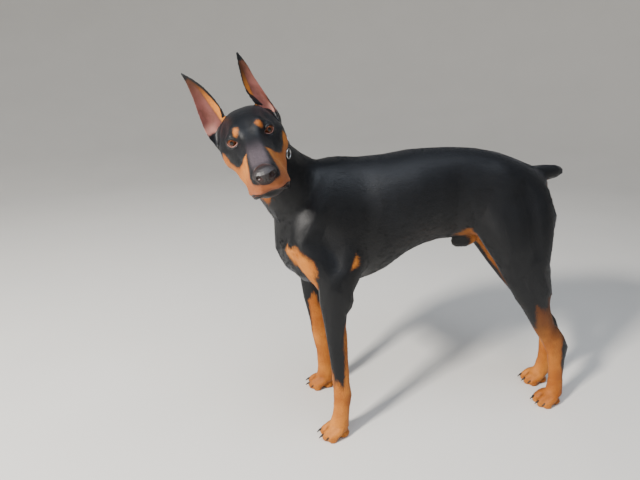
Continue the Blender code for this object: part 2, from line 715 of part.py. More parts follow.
def nose_pad():
    """The nose leather, with its two nostrils and the slit beside each."""
    pad = ellipsoid("nose", (0.1205, 0, -0.0218), (0.0155, 0.0195, 0.0135), segments=16)
    for vert in pad.data.vertices:
        if vert.co.z > -0.0215:
            vert.co.z -= 0.10 * max(0.0, vert.co.z + 0.0215)
        vert.co.y *= 1 - 0.12 * max(0.0, min(1.0, (-0.022 - vert.co.z) / 0.012))
    holes = []
    for side in (-1, 1):
        turn = Matrix.Rotation(math.radians(-24 * side), 3, "Z")
        holes.append(ellipsoid("nostril", (0.1345, side * 0.0100, -0.0205),
                               (0.0085, 0.0047, 0.0040), turn, 8))
        holes.append(ellipsoid("nostril_slit", (0.1300, side * 0.0160, -0.0240),
                               (0.0070, 0.0042, 0.0016), turn, 8))
    groove = ellipsoid("nose_groove", (0.1365, 0, -0.0290), (0.0030, 0.0010, 0.0080),
                       segments=8)
    return in_head(cut(pad, *holes, groove, solver="MANIFOLD"))


def mouth_cutter():
    """A bent sheet along the line of the mouth, wider between the lips."""
    places = [i / 3 for i in range(3 * len(MOUTH) - 2)]
    rows = [(i, x, z) for i, (x, z) in enumerate(MOUTH)]
    line = smooth_rows(rows, np.array(places))[:, 1:]
    along = np.gradient(line, axis=0)
    along /= np.linalg.norm(along, axis=1)[:, None]
    normal = np.column_stack((-along[:, 1], along[:, 0]))
    corner = np.interp(line[:, 0], (0.012, 0.024), (0.0, 1.0))
    half = (GAP / 2 + (LIP_PARTING - GAP) / 2 * corner)[:, None]
    outline = np.vstack((line + normal * half, (line - normal * half)[::-1]))
    rings = [[(x, y, z) for x, z in outline] for y in (-0.08, 0.08)]
    return in_head(loft("mouth", rings))


def head_skin():
    """Skull, muzzle, jaw, the roots of the ears and the top of the neck as one skin."""
    pieces = [in_head(loft("skull", list(head_rings()))),
              in_head(loft("jaw", list(jaw_rings()))),
              neck(3.3, 6),
              ear_root("ear_root", RIGHT_EAR), ear_root("ear_root", LEFT_EAR)]
    for side in (-1, 1):
        pieces.append(in_head(ellipsoid("eye_mound", (-0.005, side * EYE_SPREAD, 0.0),
                                        (EYE_RADIUS + 0.0028,) * 3)))
        pieces.append(in_head(ellipsoid("cheek", (-0.030, side * 0.030, -0.052),
                                        (0.044, 0.0170, 0.026))))
    skin = fused("head", pieces, 0.0014, 0.007, 6)
    swellings = [(HEAD_PLACE @ Vector((x, side * y, z)), reach, rise)
                 for (x, y, z), reach, rise in FACE for side in (-1, 1)]
    return moulded(skin, swellings)


def neck_side_block(toward_head):
    """A block that takes away the neck on one side of the collar's plane."""
    centre, side, nape, along, _ = neck_frame(COLLAR_STATION)
    axes = Matrix((side, nape, along)).transposed()
    size = 0.36
    shift = (size / 2 - GAP / 2) * (-1 if toward_head else 1)
    reach = (0.36, 0.36, size) if toward_head else (0.20, 0.22, size)
    return box("neck_block", centre + along * shift, reach, axes)


def ear_ring(row, filled):
    """One section of an ear: along the cup from front to rear, and back behind it."""
    front, rear, depth, flesh = row[1:4], row[4:7], row[7], row[8]
    edge = rear - front
    back = np.cross(edge, (0.3, 0, 1))
    back *= -math.copysign(1, back[0]) / max(np.linalg.norm(back), 1e-9)
    across = np.linspace(0, 1, 9)
    if filled:
        front, edge, flesh = front - 0.04 * edge, 1.08 * edge, flesh + 0.0015
    line = front + np.outer(across, edge)
    bow = 4 * across * (1 - across)
    half = (EAR_THICKNESS / 2 + 0.0015 * filled) * (0.55 + 0.45 * np.sqrt(bow))
    cup = (0 if filled else depth) * bow - half
    behind = depth * bow + half + flesh * bow ** 0.6
    return np.vstack((line + np.outer(cup, back), (line + np.outer(behind, back))[::-1]))


def ear(name, rows):
    """A cropped ear: a tall leaf, cupped to the front and fleshy at its root."""
    return in_head(loft(name, [ear_ring(row, False) for row in spread(rows, 14)]))


def ear_root(name, rows):
    """The filled root of an ear, which the head's skin grows round."""
    shares = np.linspace(rows[0][0], -0.06, 5)
    return in_head(loft(name, [ear_ring(row, True) for row in smooth_rows(rows, shares)]))


def paw_place(rows, side, splay, reach):
    """Where a paw's own frame sits: x to the toes, z up, on the floor under the leg."""
    _, front, back, inner, outer = smooth_rows(rows, 0.03)[0]
    centre = Vector(((front + back) / 2 - reach, side * (inner + outer) / 2, 0))
    turn = Matrix.Rotation(math.pi - side * splay, 4, "Z")
    return Matrix.Translation(centre) @ turn


# across, ahead and size of each toe in the paw's own frame
TOES = ((0.0105, 0.010, 1.0), (-0.0105, 0.010, 1.0), (0.0215, -0.002, 0.92),
        (-0.0215, -0.002, 0.92))


def paw_skin(name, rows, side, place, top):
    """Four arched toes, their pads and the foot above them."""
    pieces = [leg("foot", rows, side, 0.030, top + 0.03)]
    details = [ellipsoid("heel_pad", (-0.014, 0, 0.008), (0.017, 0.019, 0.012)),
               ellipsoid("instep", (-0.002, 0, 0.028), (0.026, 0.021, 0.019))]
    for across, ahead, size in TOES:
        knuckle = Vector((ahead, across * 0.90, 0.0280 * size))
        tip = Vector((ahead + 0.0225, across * 1.03, 0.0150 * size))
        details += [belly("toe", knuckle, tip, 0.0125 * size, 0.0100 * size),
                    ellipsoid("toe_pad", (ahead + 0.0185, across, 0.006),
                              (0.0130 * size, 0.0092 * size, 0.0095))]
    for piece in details:
        piece.data.transform(place)
        pieces.append(piece)
    paw = fused(name, pieces, 0.0016, 0.0014, 2)
    thinned(paw, PAW_TRIANGLES)
    under = middle(paw) * Vector((1, 1, 0))
    floor = box("floor", under - Vector((0, 0, 0.05)), (0.3, 0.3, 0.1))
    above = box("above", under + Vector((0, 0, top - GAP / 2 + 0.1)), (0.3, 0.3, 0.2))
    return largest(cut(paw, floor, above))


def claw(name, place, across, ahead, size):
    """A short curved claw, its root inside the toe."""
    rings = []
    root = Vector((ahead + 0.0290 * size, across * 1.04, 0.0170 * size))
    for t in (0.0, 0.45, 0.8, 1.0):
        centre = root + Vector((0.0165 * t, 0, -0.0030 * t - 0.0085 * t * t)) * size
        radius = 0.0036 * size * (1 - 0.80 * t ** 1.4)
        turns = [2 * math.pi * k / 6 for k in range(6)]
        rings.append([centre + radius * Vector((0.5 * t * math.sin(a), 0.8 * math.cos(a),
                                                math.sin(a))) for a in turns])
    piece = loft(name, rings)
    piece.data.transform(place)
    return piece


def collar_strap():
    """A plain leather strap round the top of the neck."""
    centre, side, nape, along, _ = neck_frame(COLLAR_STATION)
    shape = bmesh.new()
    loops = []
    for grow, shift in ((COLLAR_INSIDE, -0.5), (COLLAR_INSIDE + COLLAR_THICKNESS, -0.5),
                        (COLLAR_INSIDE + COLLAR_THICKNESS, 0.5), (COLLAR_INSIDE, 0.5)):
        sizes = neck_frame(COLLAR_STATION + shift * COLLAR_WIDTH / NECK_STATION_LENGTH)[4] + grow
        ring = egg_ring(centre + along * shift * COLLAR_WIDTH, side, nape, *sizes, 2.0, 2.1)
        loops.append([shape.verts.new(point) for point in ring])
    for k in range(4):
        first, second = loops[k - 1], loops[k]
        for i in range(len(first)):
            shape.faces.new((first[i - 1], first[i], second[i], second[i - 1]))
    return from_bmesh("collar_strap", shape)


def collar_place(angle, shift, lift):
    """A place on the strap: x round the neck, y towards the head, z out of the leather."""
    centre, side, nape, along, (half_width, rise, drop) = neck_frame(COLLAR_STATION)
    reach = rise if math.sin(angle) > 0 else drop
    point = centre + side * half_width * math.cos(angle) + nape * reach * math.sin(angle)
    around = (side * half_width * math.sin(angle) - nape * reach * math.cos(angle)).normalized()
    outward = around.cross(along)
    axes = Matrix((around, along, outward)).transposed()
    point += along * shift + outward * (COLLAR_INSIDE + COLLAR_THICKNESS + lift)
    return Matrix.Translation(point) @ axes.to_4x4()


def buckle():
    """A plain frame buckle with its pin, on the left side of the neck."""
    width, length, bar = COLLAR_WIDTH + 0.007, 0.021, 0.0028
    frame = box("collar_buckle", (0, 0, 0), (length, width, bar))
    cut(frame, box("hole", (0, 0, 0), (length - 2 * bar, width - 2 * bar, 2 * bar)),
        solver="MANIFOLD")
    join(frame, box("pin", (0, 0, 0), (length - bar, 0.8 * bar, 0.8 * bar)), solver="MANIFOLD")
    frame.data.transform(collar_place(BUCKLE_ANGLE, 0, bar / 2 + COLLAR_CLEARANCE))
    return frame


def collar_ring():
    """The steel ring that hangs below the buckle."""
    radius, wire = 0.0095, 0.0015
    path = [Vector((radius * math.cos(a), radius * math.sin(a), 0))
            for a in np.linspace(0, 2 * math.pi, 20, endpoint=False)]
    ring = hoop("collar_ring", path, Vector((0, 0, 0)), wire, 6)
    ring.data.transform(collar_place(RING_ANGLE, -COLLAR_WIDTH / 2 - radius / 2,
                                     wire + COLLAR_CLEARANCE))
    return ring


def sheath():
    """The sheath under the belly, held close and pointing forward."""
    return belly("sheath", (0.018, 0, 0.466), (0.048, 0, 0.474), 0.0215, 0.0150)


def leg_sheet(name, side, profile, front, back):
    """A bent cut between a leg and the trunk; profile is y, z from inside up and outward."""
    rows = [(i, y, z) for i, (y, z) in enumerate(profile)]
    line = smooth_rows(rows, np.linspace(0, len(rows) - 1, 9))[:, 1:]
    along = np.gradient(line, axis=0)
    along /= np.linalg.norm(along, axis=1)[:, None]
    normal = np.column_stack((-along[:, 1], along[:, 0])) * GAP / 2
    outline = np.vstack((line + normal, (line - normal)[::-1]))
    return loft(name, [[(x, side * y, z) for y, z in outline] for x in (front, back)])


def painted(obj, finish):
    """Gives a part its material."""
    colour, roughness, metallic = finish
    name = obj.name + "_finish"
    material = bpy.data.materials.new(name)
    material.use_nodes = True
    shader = material.node_tree.nodes["Principled BSDF"]
    shader.inputs["Base Color"].default_value = (*colour, 1)
    shader.inputs["Roughness"].default_value = roughness
    shader.inputs["Metallic"].default_value = metallic
    obj.data.materials.clear()
    obj.data.materials.append(material)


def build_head():
    """Head, lower jaw, nose, ears and eyes."""
    head = thinned(head_skin(), HEAD_TRIANGLES)
    nose = nose_pad()
    join(head, *(lid_rim(side) for side in (-1, 1)), solver="MANIFOLD")
    cut(head, neck_side_block(True), *(socket(side) for side in (-1, 1)), swollen(nose),
        mouth_cutter(), solver="MANIFOLD")
    labels = {"head": HEAD_PLACE @ Vector((-0.01, 0, -0.02)),
              "lower_jaw": HEAD_PLACE @ Vector((0.055, 0, -0.066))}
    parts = named_pieces(head, labels)
    parts["nose"] = largest(nose)
    for name, side in (("right", -1), ("left", 1)):
        centre, axes = eye_frame(side)
        eye = in_head(ellipsoid("eye_" + name, centre, (EYE_RADIUS,) * 3, axes, EYE_SEGMENTS))
        parts["eye_" + name] = eye
    for name, rows in (("right", RIGHT_EAR), ("left", LEFT_EAR)):
        leaf = ear("ear_" + name, rows)
        parts["ear_" + name] = largest(cut(leaf, swollen(parts["head"]), solver="MANIFOLD"))
    return parts


def build_body():
    """Neck, trunk, tail and legs, parted where the animal's own regions meet."""
    skin = thinned(body_skin(), BODY_TRIANGLES)
    cut(skin, neck_side_block(False))
    for side, rows in ((-1, LEFT_HIND_LEG), (1, RIGHT_HIND_LEG)):
        cut(skin, leg_sheet("elbow_cut", side, ((0.050, 0.330), (0.054, 0.372), (0.074, 0.395),
                                                (0.110, 0.402), (0.170, 0.404)), -0.46, -0.20))
        cut(skin, leg_sheet("groin_cut", side, ((0.012, 0.380), (0.014, 0.470), (0.030, 0.550),
                                                (0.075, 0.600), (0.150, 0.625)), -0.02, 0.27))
        for z, tilt, length in ((0.390, 0.45, 0.26), (HOCK_CUT, 0.25, 0.14)):
            _, front, back, inner, outer = smooth_rows(rows, z)[0]
            cut(skin, slab("leg_cut", ((front + back) / 2, side * (inner + outer) / 2, z),
                           (tilt, 0, -1), (length, 0.10 if z < 0.3 else 0.13)))
        for x, y, top in ((-0.29, 0.10, FORE_PAW_TOP), (0.32, 0.05, HIND_PAW_TOP)):
            cut(skin, box("below", (x, side * y, top + GAP / 2 - 0.1), (0.2, 0.098, 0.2)))
    cut(skin, slab("neck_cut", (-0.385, 0, 0.610), (-0.76, 0, 0.65), (0.30, 0.30)),
        slab("rib_cut", (-0.130, 0, 0.580), (1, 0, 0), (0.34, 0.34)),
        slab("loin_cut", (0.022, 0, 0.590), (1, 0, 0), (0.34, 0.34)),
        slab("tail_cut", (0.203, 0, 0.625), (1, 0, 0.25), (0.12, 0.12)))
    labels = {"neck": (-0.41, -0.03, 0.66), "chest": (-0.26, 0, 0.53), "loin": (-0.05, 0, 0.59),
              "pelvis": (0.11, 0, 0.60), "tail": (0.235, 0, 0.63)}
    for name, side in (("left", -1), ("right", 1)):
        labels |= {"foreleg_" + name: (-0.30, side * 0.10, 0.28),
                   "thigh_" + name: (0.13, side * 0.065, 0.46),
                   "shank_" + name: (0.22, side * 0.06, 0.29),
                   "hind_pastern_" + name: (0.30, side * 0.05, 0.13)}
    return named_pieces(skin, labels)


def build_paws():
    """The four paws and their claws."""
    parts = {}
    feet = (("fore_paw_left", LEFT_FORELEG, -1, 6, 0.003, FORE_PAW_TOP),
            ("fore_paw_right", RIGHT_FORELEG, 1, 6, 0.003, FORE_PAW_TOP),
            ("hind_paw_left", LEFT_HIND_LEG, -1, 3, 0.009, HIND_PAW_TOP),
            ("hind_paw_right", RIGHT_HIND_LEG, 1, 3, 0.009, HIND_PAW_TOP))
    for name, rows, side, splay, reach, top in feet:
        place = paw_place(rows, side, math.radians(splay), reach)
        paw = paw_skin(name, rows, side, place, top)
        parts[paw.name] = paw
        for number, (across, ahead, size) in enumerate(TOES, 1):
            nail = claw(name.replace("paw", "claw") + "_" + str(number), place, across, ahead, size)
            nail_name = nail.name
            parts[nail_name] = largest(cut(nail, swollen(paw), solver="MANIFOLD"))
    return parts


def build_collar(parts):
    """The strap, pressed a little into neck and head, with its buckle and ring."""
    strap = collar_strap()
    for name in ("head", "neck"):
        parts[name] = largest(cut(parts[name], swollen(strap), solver="MANIFOLD"))
    parts["collar_strap"] = strap
    parts["collar_buckle"] = buckle()
    parts["collar_ring"] = collar_ring()


def finish_of(name):
    """The finish of a part, from what its name holds."""
    for word, finish in (("eye", EYE_GLASS), ("nose", NOSE_SKIN), ("claw", CLAW_HORN),
                         ("strap", LEATHER), ("collar", STEEL), ("ear_", EAR_SKIN),
                         ("paw", RUST_COAT), ("pastern", RUST_COAT)):
        if word in name:
            return finish
    return BLACK_COAT


def finish_part(name, obj):
    """Names, paints, shades and places a part, and puts it with the finished ones."""
    obj.name = name
    painted(obj, finish_of(name))
    obj.data.transform(Matrix.Translation(ORIGIN_SHIFT))
    obj.data.shade_smooth()
    obj.data.set_sharp_from_angle(angle=SHARP_ANGLE)
    collection(CUTTERS).objects.unlink(obj)
    collection(DOG).objects.link(obj)


def main():
    clear_scene()
    parts = build_head()
    parts |= build_body()
    parts |= build_paws()
    build_collar(parts)
    pouch = sheath()
    parts["sheath"] = largest(cut(pouch, swollen(parts["loin"]), swollen(parts["pelvis"])))
    for name, obj in parts.items():
        finish_part(name, obj)


main()
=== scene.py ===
"""Doberman pinscher, life size: a young black and rust male, dressed over his solids.

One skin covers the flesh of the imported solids.  It carries the folds, lids and lips, and the
markings as named masks on its points.  Eyes, nose leather, claws and collar are pieces of
their own, and fine tufts of hair lie along the skin on every side.
Lengths are in metres.  The dog faces -X, his left side is -Y, and the floor is at Z = 0.
"""

import math

import bmesh
import bpy
import numpy as np
from mathutils import Matrix, Vector
from mathutils.bvhtree import BVHTree


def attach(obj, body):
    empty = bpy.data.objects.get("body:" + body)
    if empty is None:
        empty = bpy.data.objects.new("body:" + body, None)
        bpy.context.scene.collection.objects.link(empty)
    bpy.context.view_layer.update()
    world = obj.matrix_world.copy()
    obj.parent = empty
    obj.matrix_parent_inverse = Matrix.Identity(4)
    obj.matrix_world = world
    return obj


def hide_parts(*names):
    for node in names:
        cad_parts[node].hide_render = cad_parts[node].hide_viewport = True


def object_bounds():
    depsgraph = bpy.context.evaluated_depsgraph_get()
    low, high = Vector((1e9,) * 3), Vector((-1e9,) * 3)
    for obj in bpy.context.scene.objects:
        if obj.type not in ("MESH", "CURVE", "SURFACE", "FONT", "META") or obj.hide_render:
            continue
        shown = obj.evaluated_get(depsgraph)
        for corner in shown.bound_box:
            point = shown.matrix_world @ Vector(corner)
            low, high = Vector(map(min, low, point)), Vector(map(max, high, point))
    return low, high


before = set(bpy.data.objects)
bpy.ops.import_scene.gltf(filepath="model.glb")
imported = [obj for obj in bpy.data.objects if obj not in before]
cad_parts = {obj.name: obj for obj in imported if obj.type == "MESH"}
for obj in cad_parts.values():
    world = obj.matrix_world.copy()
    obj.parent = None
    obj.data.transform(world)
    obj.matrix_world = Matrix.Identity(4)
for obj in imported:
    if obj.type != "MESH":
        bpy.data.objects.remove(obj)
CAD_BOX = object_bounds()

bl_info = {
    "name": "Doberman pinscher",
    "version": (1, 0, 0),
    "blender": (4, 5, 0),
    "location": "3D View > Sidebar > Dog",
    "description": "Dresses the solids of a life-size standing dog",
    "category": "Object",
}

SIDES = (("right", -1), ("left", 1))         # side in the head's own axes, where +Y is his left

# The head's own frame: forward, left, up, from between the eyes
EYE_MID = Vector((-0.3581, -0.0983, 0.7554))
HEAD_SIZE = 1.03
HEAD_YAW = math.radians(6.3)
HEAD_PITCH = math.radians(10.5)
HEAD_ROLL = math.radians(19.1)
EYE_RADIUS = 0.0115 * HEAD_SIZE
EYE_SPREAD = 0.0305
EYE_SPLAY = math.radians(20)
EYE_DEPTH = -0.003                           # of the eyeballs' centres, in the head's own frame
EYE_FIT = 0.985                              # size of an eyeball as a share of its socket
CORNEA_RISE, CORNEA_REACH = 0.050, 0.62      # as shares of the eyeball's radius
GAZE_SHARE = 0.22                            # how far the eyes turn to the camera

CAMERA_PLACE = Vector((-0.3499, -0.9532, 0.870))
CAMERA_TURN = (math.radians(70), 0, math.radians(-7.6))
CAMERA_LENS, SENSOR_WIDTH = 27.06, 36.0      # in millimetres

PAWS = ("fore_paw_left", "fore_paw_right", "hind_paw_left", "hind_paw_right")
HEAD_PARTS = ("head", "lower_jaw")
EARS = ("ear_left", "ear_right")
FINE_PARTS = HEAD_PARTS + EARS + ("nose", "eye_left", "eye_right") + PAWS
BROAD_PARTS = ("neck", "chest", "loin", "pelvis", "tail", "sheath", "foreleg_left",
               "foreleg_right", "thigh_left", "thigh_right", "shank_left", "shank_right",
               "hind_pastern_left", "hind_pastern_right")
FLESH = tuple(name for name in FINE_PARTS + BROAD_PARTS
              if name not in ("nose", "eye_left", "eye_right"))
LIMBS = tuple(name for name in FLESH if name.startswith(("foreleg", "shank", "hind", "fore_")))
FORE_PAW_TOP = 0.100
HIND_PAW_TOP = 0.075
MIDLINE = 0.1018                             # y of the middle of the trunk

FINE_CELL = 0.0015
# Size of the cells that each mesh is remade in, and the rounds of evening out after that
BROAD_STAGE, FINE_STAGE, SKIN_STAGE = (0.0036, 26), (0.0014, 8), (FINE_CELL, 5)
NOSE_STAGE, CLAW_STAGE = (0.0005, 10), (0.0006, 8)
HEAD_REACH = 0.21                            # from between the eyes to behind the skull
UNDERLAP = 0.0032                            # how far the broad body stays inside the fine parts
# Where the finer triangles of the head and paws end: from between the eyes, and above the floor
HEAD_FINE, PAW_FINE = (0.13, 0.20), (0.06, 0.12)
# Where the forms of the trunk start from the midline and the head, and those of the legs end
FORMS_FROM_MIDLINE, FORMS_FROM_HEAD, LEG_FORMS_TOP = (0.020, 0.045), (0.17, 0.22), (0.45, 0.48)
SWELL = 0.0005                               # closes the gaps between the fine solids
SKIN_TRIANGLES = 150000                      # before the eyes and lips are refined
MARKING_SOFT = 0.006                         # half width of the edge of a marking
LOCK_LENGTH, LOCK_WIDTH = 0.012, 0.0016      # streaks of the coat
HAIR_STREAK_LENGTH, HAIR_STREAK_WIDTH = 0.005, 0.00045
COAT_RELIEF = 0.0006                         # depth of the coat's bump
NOSE_CELL = 0.0011                           # size of the nose leather's pebbles
# Ends and radii of the left nostril, y and z in the head's own frame, and its depth
NOSTRIL, NOSTRIL_RADII, NOSTRIL_DEPTH = ((0.0078, -0.0250), (0.0125, -0.0235)), (0.0036, 0.0016), 0.0050
CLEFT, CLEFT_REACH, CLEFT_DEPTH = ((0, -0.012), (0, -0.040)), 0.0009, 0.0010
CLAW_SHORTENING = 0.40                       # share by which he has worn his claws down
CLAW_ROOT, CLAW_SWELL = 0.0030, 0.0004       # how far a claw's root runs back and swells
TUFT_COUNT = 58000
TUFT_SEED = 7
# Starts of the nodes' names, and the length of their tufts as a share of the trunk's
TUFT_SHARES = ((HEAD_PARTS, 0.42), (("ear",), 0.38), (("fore_paw", "hind_paw"), 0.36),
               (("hind_pastern",), 0.55), (("shank", "foreleg"), 0.65))
TUFT_PATCH = 0.003                           # side of each tuft's patch of the unwrap
TUFT_SPREAD = 0.16                           # how far the tufts stray from the lie of the hair
TUFT_LIFT = 0.035                            # how steeply a tuft stands on the trunk
TUFT_ROOT = 0.0003                           # how deep it is rooted
BOX_MARGIN = 0.0003                          # how far every tuft stays inside the solids' box
LEATHER_GRAIN = 0.0011                       # size of the strap's grain
TRUNK_LIE, LIMB_LIE = math.radians(8), math.radians(74)    # slope of the hair's streaks
HEAD_LOCK = (0.7, 0.8)                       # length and width of the head's locks, as shares
RAGGEDNESS = 0.85                            # how far the locks break the edge of a marking
SHEEN_TINT = (0.72, 0.80, 1.0)
# Painted shade inside the nostrils
NOSTRIL_SHADE = (0.001, 0.001, 0.001)
PUPIL_BLACK = (0.002, 0.002, 0.002)
EYE_WHITE = (0.30, 0.22, 0.19)
SKY_TINT, SKY_STRENGTH = (0.86, 0.91, 1.0, 1), 0.20

LID_TILT = math.radians(10)
LID_REACH = 0.0080                           # half length of the opening of the lids
LID_RISE = 0.0066
LID_DROP = 0.0062
LID_EDGE = 0.0006                            # how far the rims stand off the eyeball
# Rise, place and reach of the lids' fold and puff, in shares of the almond, and of the lips'
# groove, overhang and tuck, in metres above their parting
LID_FOLD, LID_PUFF = (-0.0010, 1.50, 0.12), (0.0006, 1.24, 0.16)
LIP_FORMS = ((-0.0019, 0.0, 0.0011), (0.0010, 0.0032, 0.0022), (-0.0008, -0.0030, 0.0022))

# The parting of the lips from the side, in the head's own frame, front to corner
MOUTH = ((0.150, -0.0500), (0.119, -0.0505), (0.102, -0.0585), (0.076, -0.0650),
         (0.050, -0.0640), (0.026, -0.0590), (0.012, -0.0620))
NOSE_HEART = (0.122, 0.0, -0.022)
# Below this line, x and z in the head's own frame, the cheek and muzzle are rust
CHEEK_LINE = ((-0.100, -0.072), (-0.050, -0.056), (-0.030, -0.036), (-0.017, -0.0175),
              (-0.010, -0.020), (0.000, -0.034), (0.020, -0.037), (0.035, -0.033),
              (0.048, -0.020), (0.062, -0.0045), (0.075, -0.0085), (0.100, -0.0165),
              (0.120, -0.032))
THROAT = ((-0.352, -0.060, 0.655), (-0.345, 0.000, 0.640), (-0.333, 0.030, 0.604),
          (-0.329, 0.042, 0.586))
THROAT_RADII = (0.024, 0.022, 0.014, 0.004)
EYE_SPOT = ((0.0110, 0.0205, 0.0195), (0.0122, 0.0225, 0.0155))
EYE_SPOT_RADII = (0.0070, 0.0068)
CHEST_PATCH = ((-0.286, 0.040, 0.482), (-0.262, 0.010, 0.472), (-0.246, -0.002, 0.446),
               (-0.238, 0.002, 0.412), (-0.233, 0.014, 0.380))
CHEST_RADII = (0.019, 0.029, 0.021, 0.013, 0.007)
ELBOW_PATCH = ((-0.160, -0.004, 0.462), (-0.118, -0.003, 0.470))
ELBOW_RADII = (0.024, 0.003)
ELBOW_BACK = -0.157
UNDER_TAIL = ((0.318, 0.055, 0.578), (0.322, 0.1018, 0.590), (0.318, 0.1486, 0.578))
UNDER_TAIL_RADII = (0.024, 0.030, 0.024)
# Ahead of CHIN_BACK the chin is painted black: painted shade under the lips
CHIN_BACK = 0.060                            # rear end of the chin's rust, in the head's frame
# Between the legs: front, rear, half width and top; inside a thigh: half width, top and rear
GROIN, INNER_THIGH = (0.155, 0.27, 0.030, 0.497), (0.050, 0.515, 0.3)

# z, front x, back x, inner y, outer y; y is the distance from the middle of the dog
LEFT_FORE = ((0.110, -0.191, -0.144, 0.089, 0.118), (0.204, -0.199, -0.1534, 0.090, 0.117),
             (0.280, -0.210, -0.157, 0.089, 0.118), (0.345, -0.221, -0.157, 0.085, 0.123),
             (0.440, -0.230, -0.146, 0.066, 0.126))
RIGHT_FORE = ((0.110, -0.207, -0.160, 0.081, 0.110), (0.215, -0.226, -0.178, 0.082, 0.110),
              (0.286, -0.242, -0.187, 0.083, 0.114), (0.345, -0.251, -0.184, 0.084, 0.121),
              (0.440, -0.256, -0.170, 0.066, 0.126))
LEFT_HIND = ((0.058, 0.403, 0.446, 0.041, 0.072), (0.155, 0.383, 0.440, 0.041, 0.072),
             (0.202, 0.356, 0.428, 0.043, 0.074), (0.264, 0.311, 0.383, 0.048, 0.082),
             (0.332, 0.261, 0.360, 0.047, 0.093), (0.394, 0.221, 0.347, 0.034, 0.098),
             (0.460, 0.178, 0.340, 0.020, 0.103))
RIGHT_HIND = ((0.058, 0.423, 0.468, 0.019, 0.051), (0.155, 0.417, 0.476, 0.025, 0.056),
              (0.202, 0.393, 0.466, 0.030, 0.061), (0.264, 0.344, 0.414, 0.038, 0.071),
              (0.332, 0.285, 0.374, 0.043, 0.086), (0.394, 0.233, 0.352, 0.033, 0.094),
              (0.460, 0.180, 0.341, 0.020, 0.102))
# Side, its direction along Y, foreleg and hind leg
LEGS = (("left", -1, LEFT_FORE, LEFT_HIND), ("right", 1, RIGHT_FORE, RIGHT_HIND))
# Height, and the degrees from straight outward that the black of a foreleg reaches to the rear
# and to the front
FORE_BLACK = ((0.165, -40, -40), (0.175, 26, 88), (0.20, 34, 106), (0.25, 44, 118),
              (0.30, 56, 126), (0.33, 85, 150), (0.36, 150, 190), (0.40, 200, 200))
# Lower end of the shank's black by degrees, and half the degrees of the hock's stripe by height
SHANK_LINE = ((-180, 0.40), (-90, 0.350), (-60, 0.332), (0, 0.318), (55, 0.285), (90, 0.245),
              (180, 0.400))
HOCK_STRIPE = ((0.070, -20), (0.085, 22), (0.12, 42), (0.18, 55), (0.200, 40), (0.215, -20))

# Share of an ear's height, front edge x y z and rear edge x y z in the head's own frame
EAR_EDGES = {
    "right": ((-0.10, -0.060, -0.029, 0.012, -0.052, -0.058, -0.028),
              (0.06, -0.062, -0.0285, 0.030, -0.060, -0.0705, -0.003),
              (0.25, -0.068, -0.0310, 0.046, -0.070, -0.0735, 0.022),
              (0.65, -0.084, -0.0470, 0.084, -0.088, -0.0715, 0.070),
              (1.00, -0.098, -0.0720, 0.1125, -0.099, -0.0745, 0.1110)),
    "left": ((-0.10, -0.060, 0.0300, 0.010, -0.052, 0.0530, -0.028),
             (0.06, -0.062, 0.0270, 0.028, -0.060, 0.0600, -0.003),
             (0.25, -0.068, 0.0215, 0.044, -0.070, 0.0560, 0.020),
             (0.65, -0.084, 0.0215, 0.080, -0.088, 0.0440, 0.068),
             (1.00, -0.098, 0.0275, 0.1125, -0.099, 0.0320, 0.1130)),
}

# Ridges and grooves of the skin: the line they follow, their reach and their height
TRUNK_FORMS = (
    (((-0.180, 0.665), (-0.235, 0.560), (-0.262, 0.500)), 0.014, 0.0026),    # shoulder blade
    (((-0.262, 0.500), (-0.215, 0.475), (-0.172, 0.452)), 0.015, 0.0028),    # upper arm
    (((-0.185, 0.560), (-0.165, 0.500), (-0.160, 0.462)), 0.020, 0.0034),    # triceps
    (((-0.125, 0.640), (-0.118, 0.560), (-0.118, 0.470)), 0.015, -0.0030),   # behind the arm
    (((-0.225, 0.640), (-0.245, 0.570)), 0.010, -0.0018),
    (((-0.330, 0.640), (-0.300, 0.560), (-0.288, 0.500)), 0.010, -0.0022),   # side of the neck
    (((0.095, 0.640), (0.088, 0.580), (0.098, 0.530)), 0.020, -0.0030),      # loin hollow
    (((0.135, 0.560), (0.175, 0.520), (0.212, 0.478)), 0.008, 0.0032),       # flank fold
    (((0.118, 0.575), (0.160, 0.515), (0.185, 0.480)), 0.011, -0.0024),
    (((0.185, 0.655), (0.200, 0.650)), 0.014, 0.0030),                       # point of the hip
    (((0.205, 0.600), (0.222, 0.530), (0.228, 0.465)), 0.024, 0.0040),       # front of the thigh
    (((0.242, 0.620), (0.262, 0.540), (0.285, 0.445)), 0.009, -0.0030),
    (((0.285, 0.600), (0.298, 0.520), (0.312, 0.440)), 0.018, 0.0030),       # back of the thigh
    (((0.330, 0.560), (0.333, 0.490), (0.338, 0.420)), 0.008, -0.0022),
    (((0.335, 0.615), (0.352, 0.585)), 0.012, 0.0026),                       # seat bone
)
FORM_SHARE = 1.25                            # how strongly the trunk's forms show
RIB_FIRST, RIB_STEP, RIB_COUNT = -0.085, 0.027, 7
RIB_RISE, RIB_REACH = 0.0008, 0.0065
RIB_LINE = ((0.0, 0.625), (-0.008, 0.560), (-0.036, 0.470))

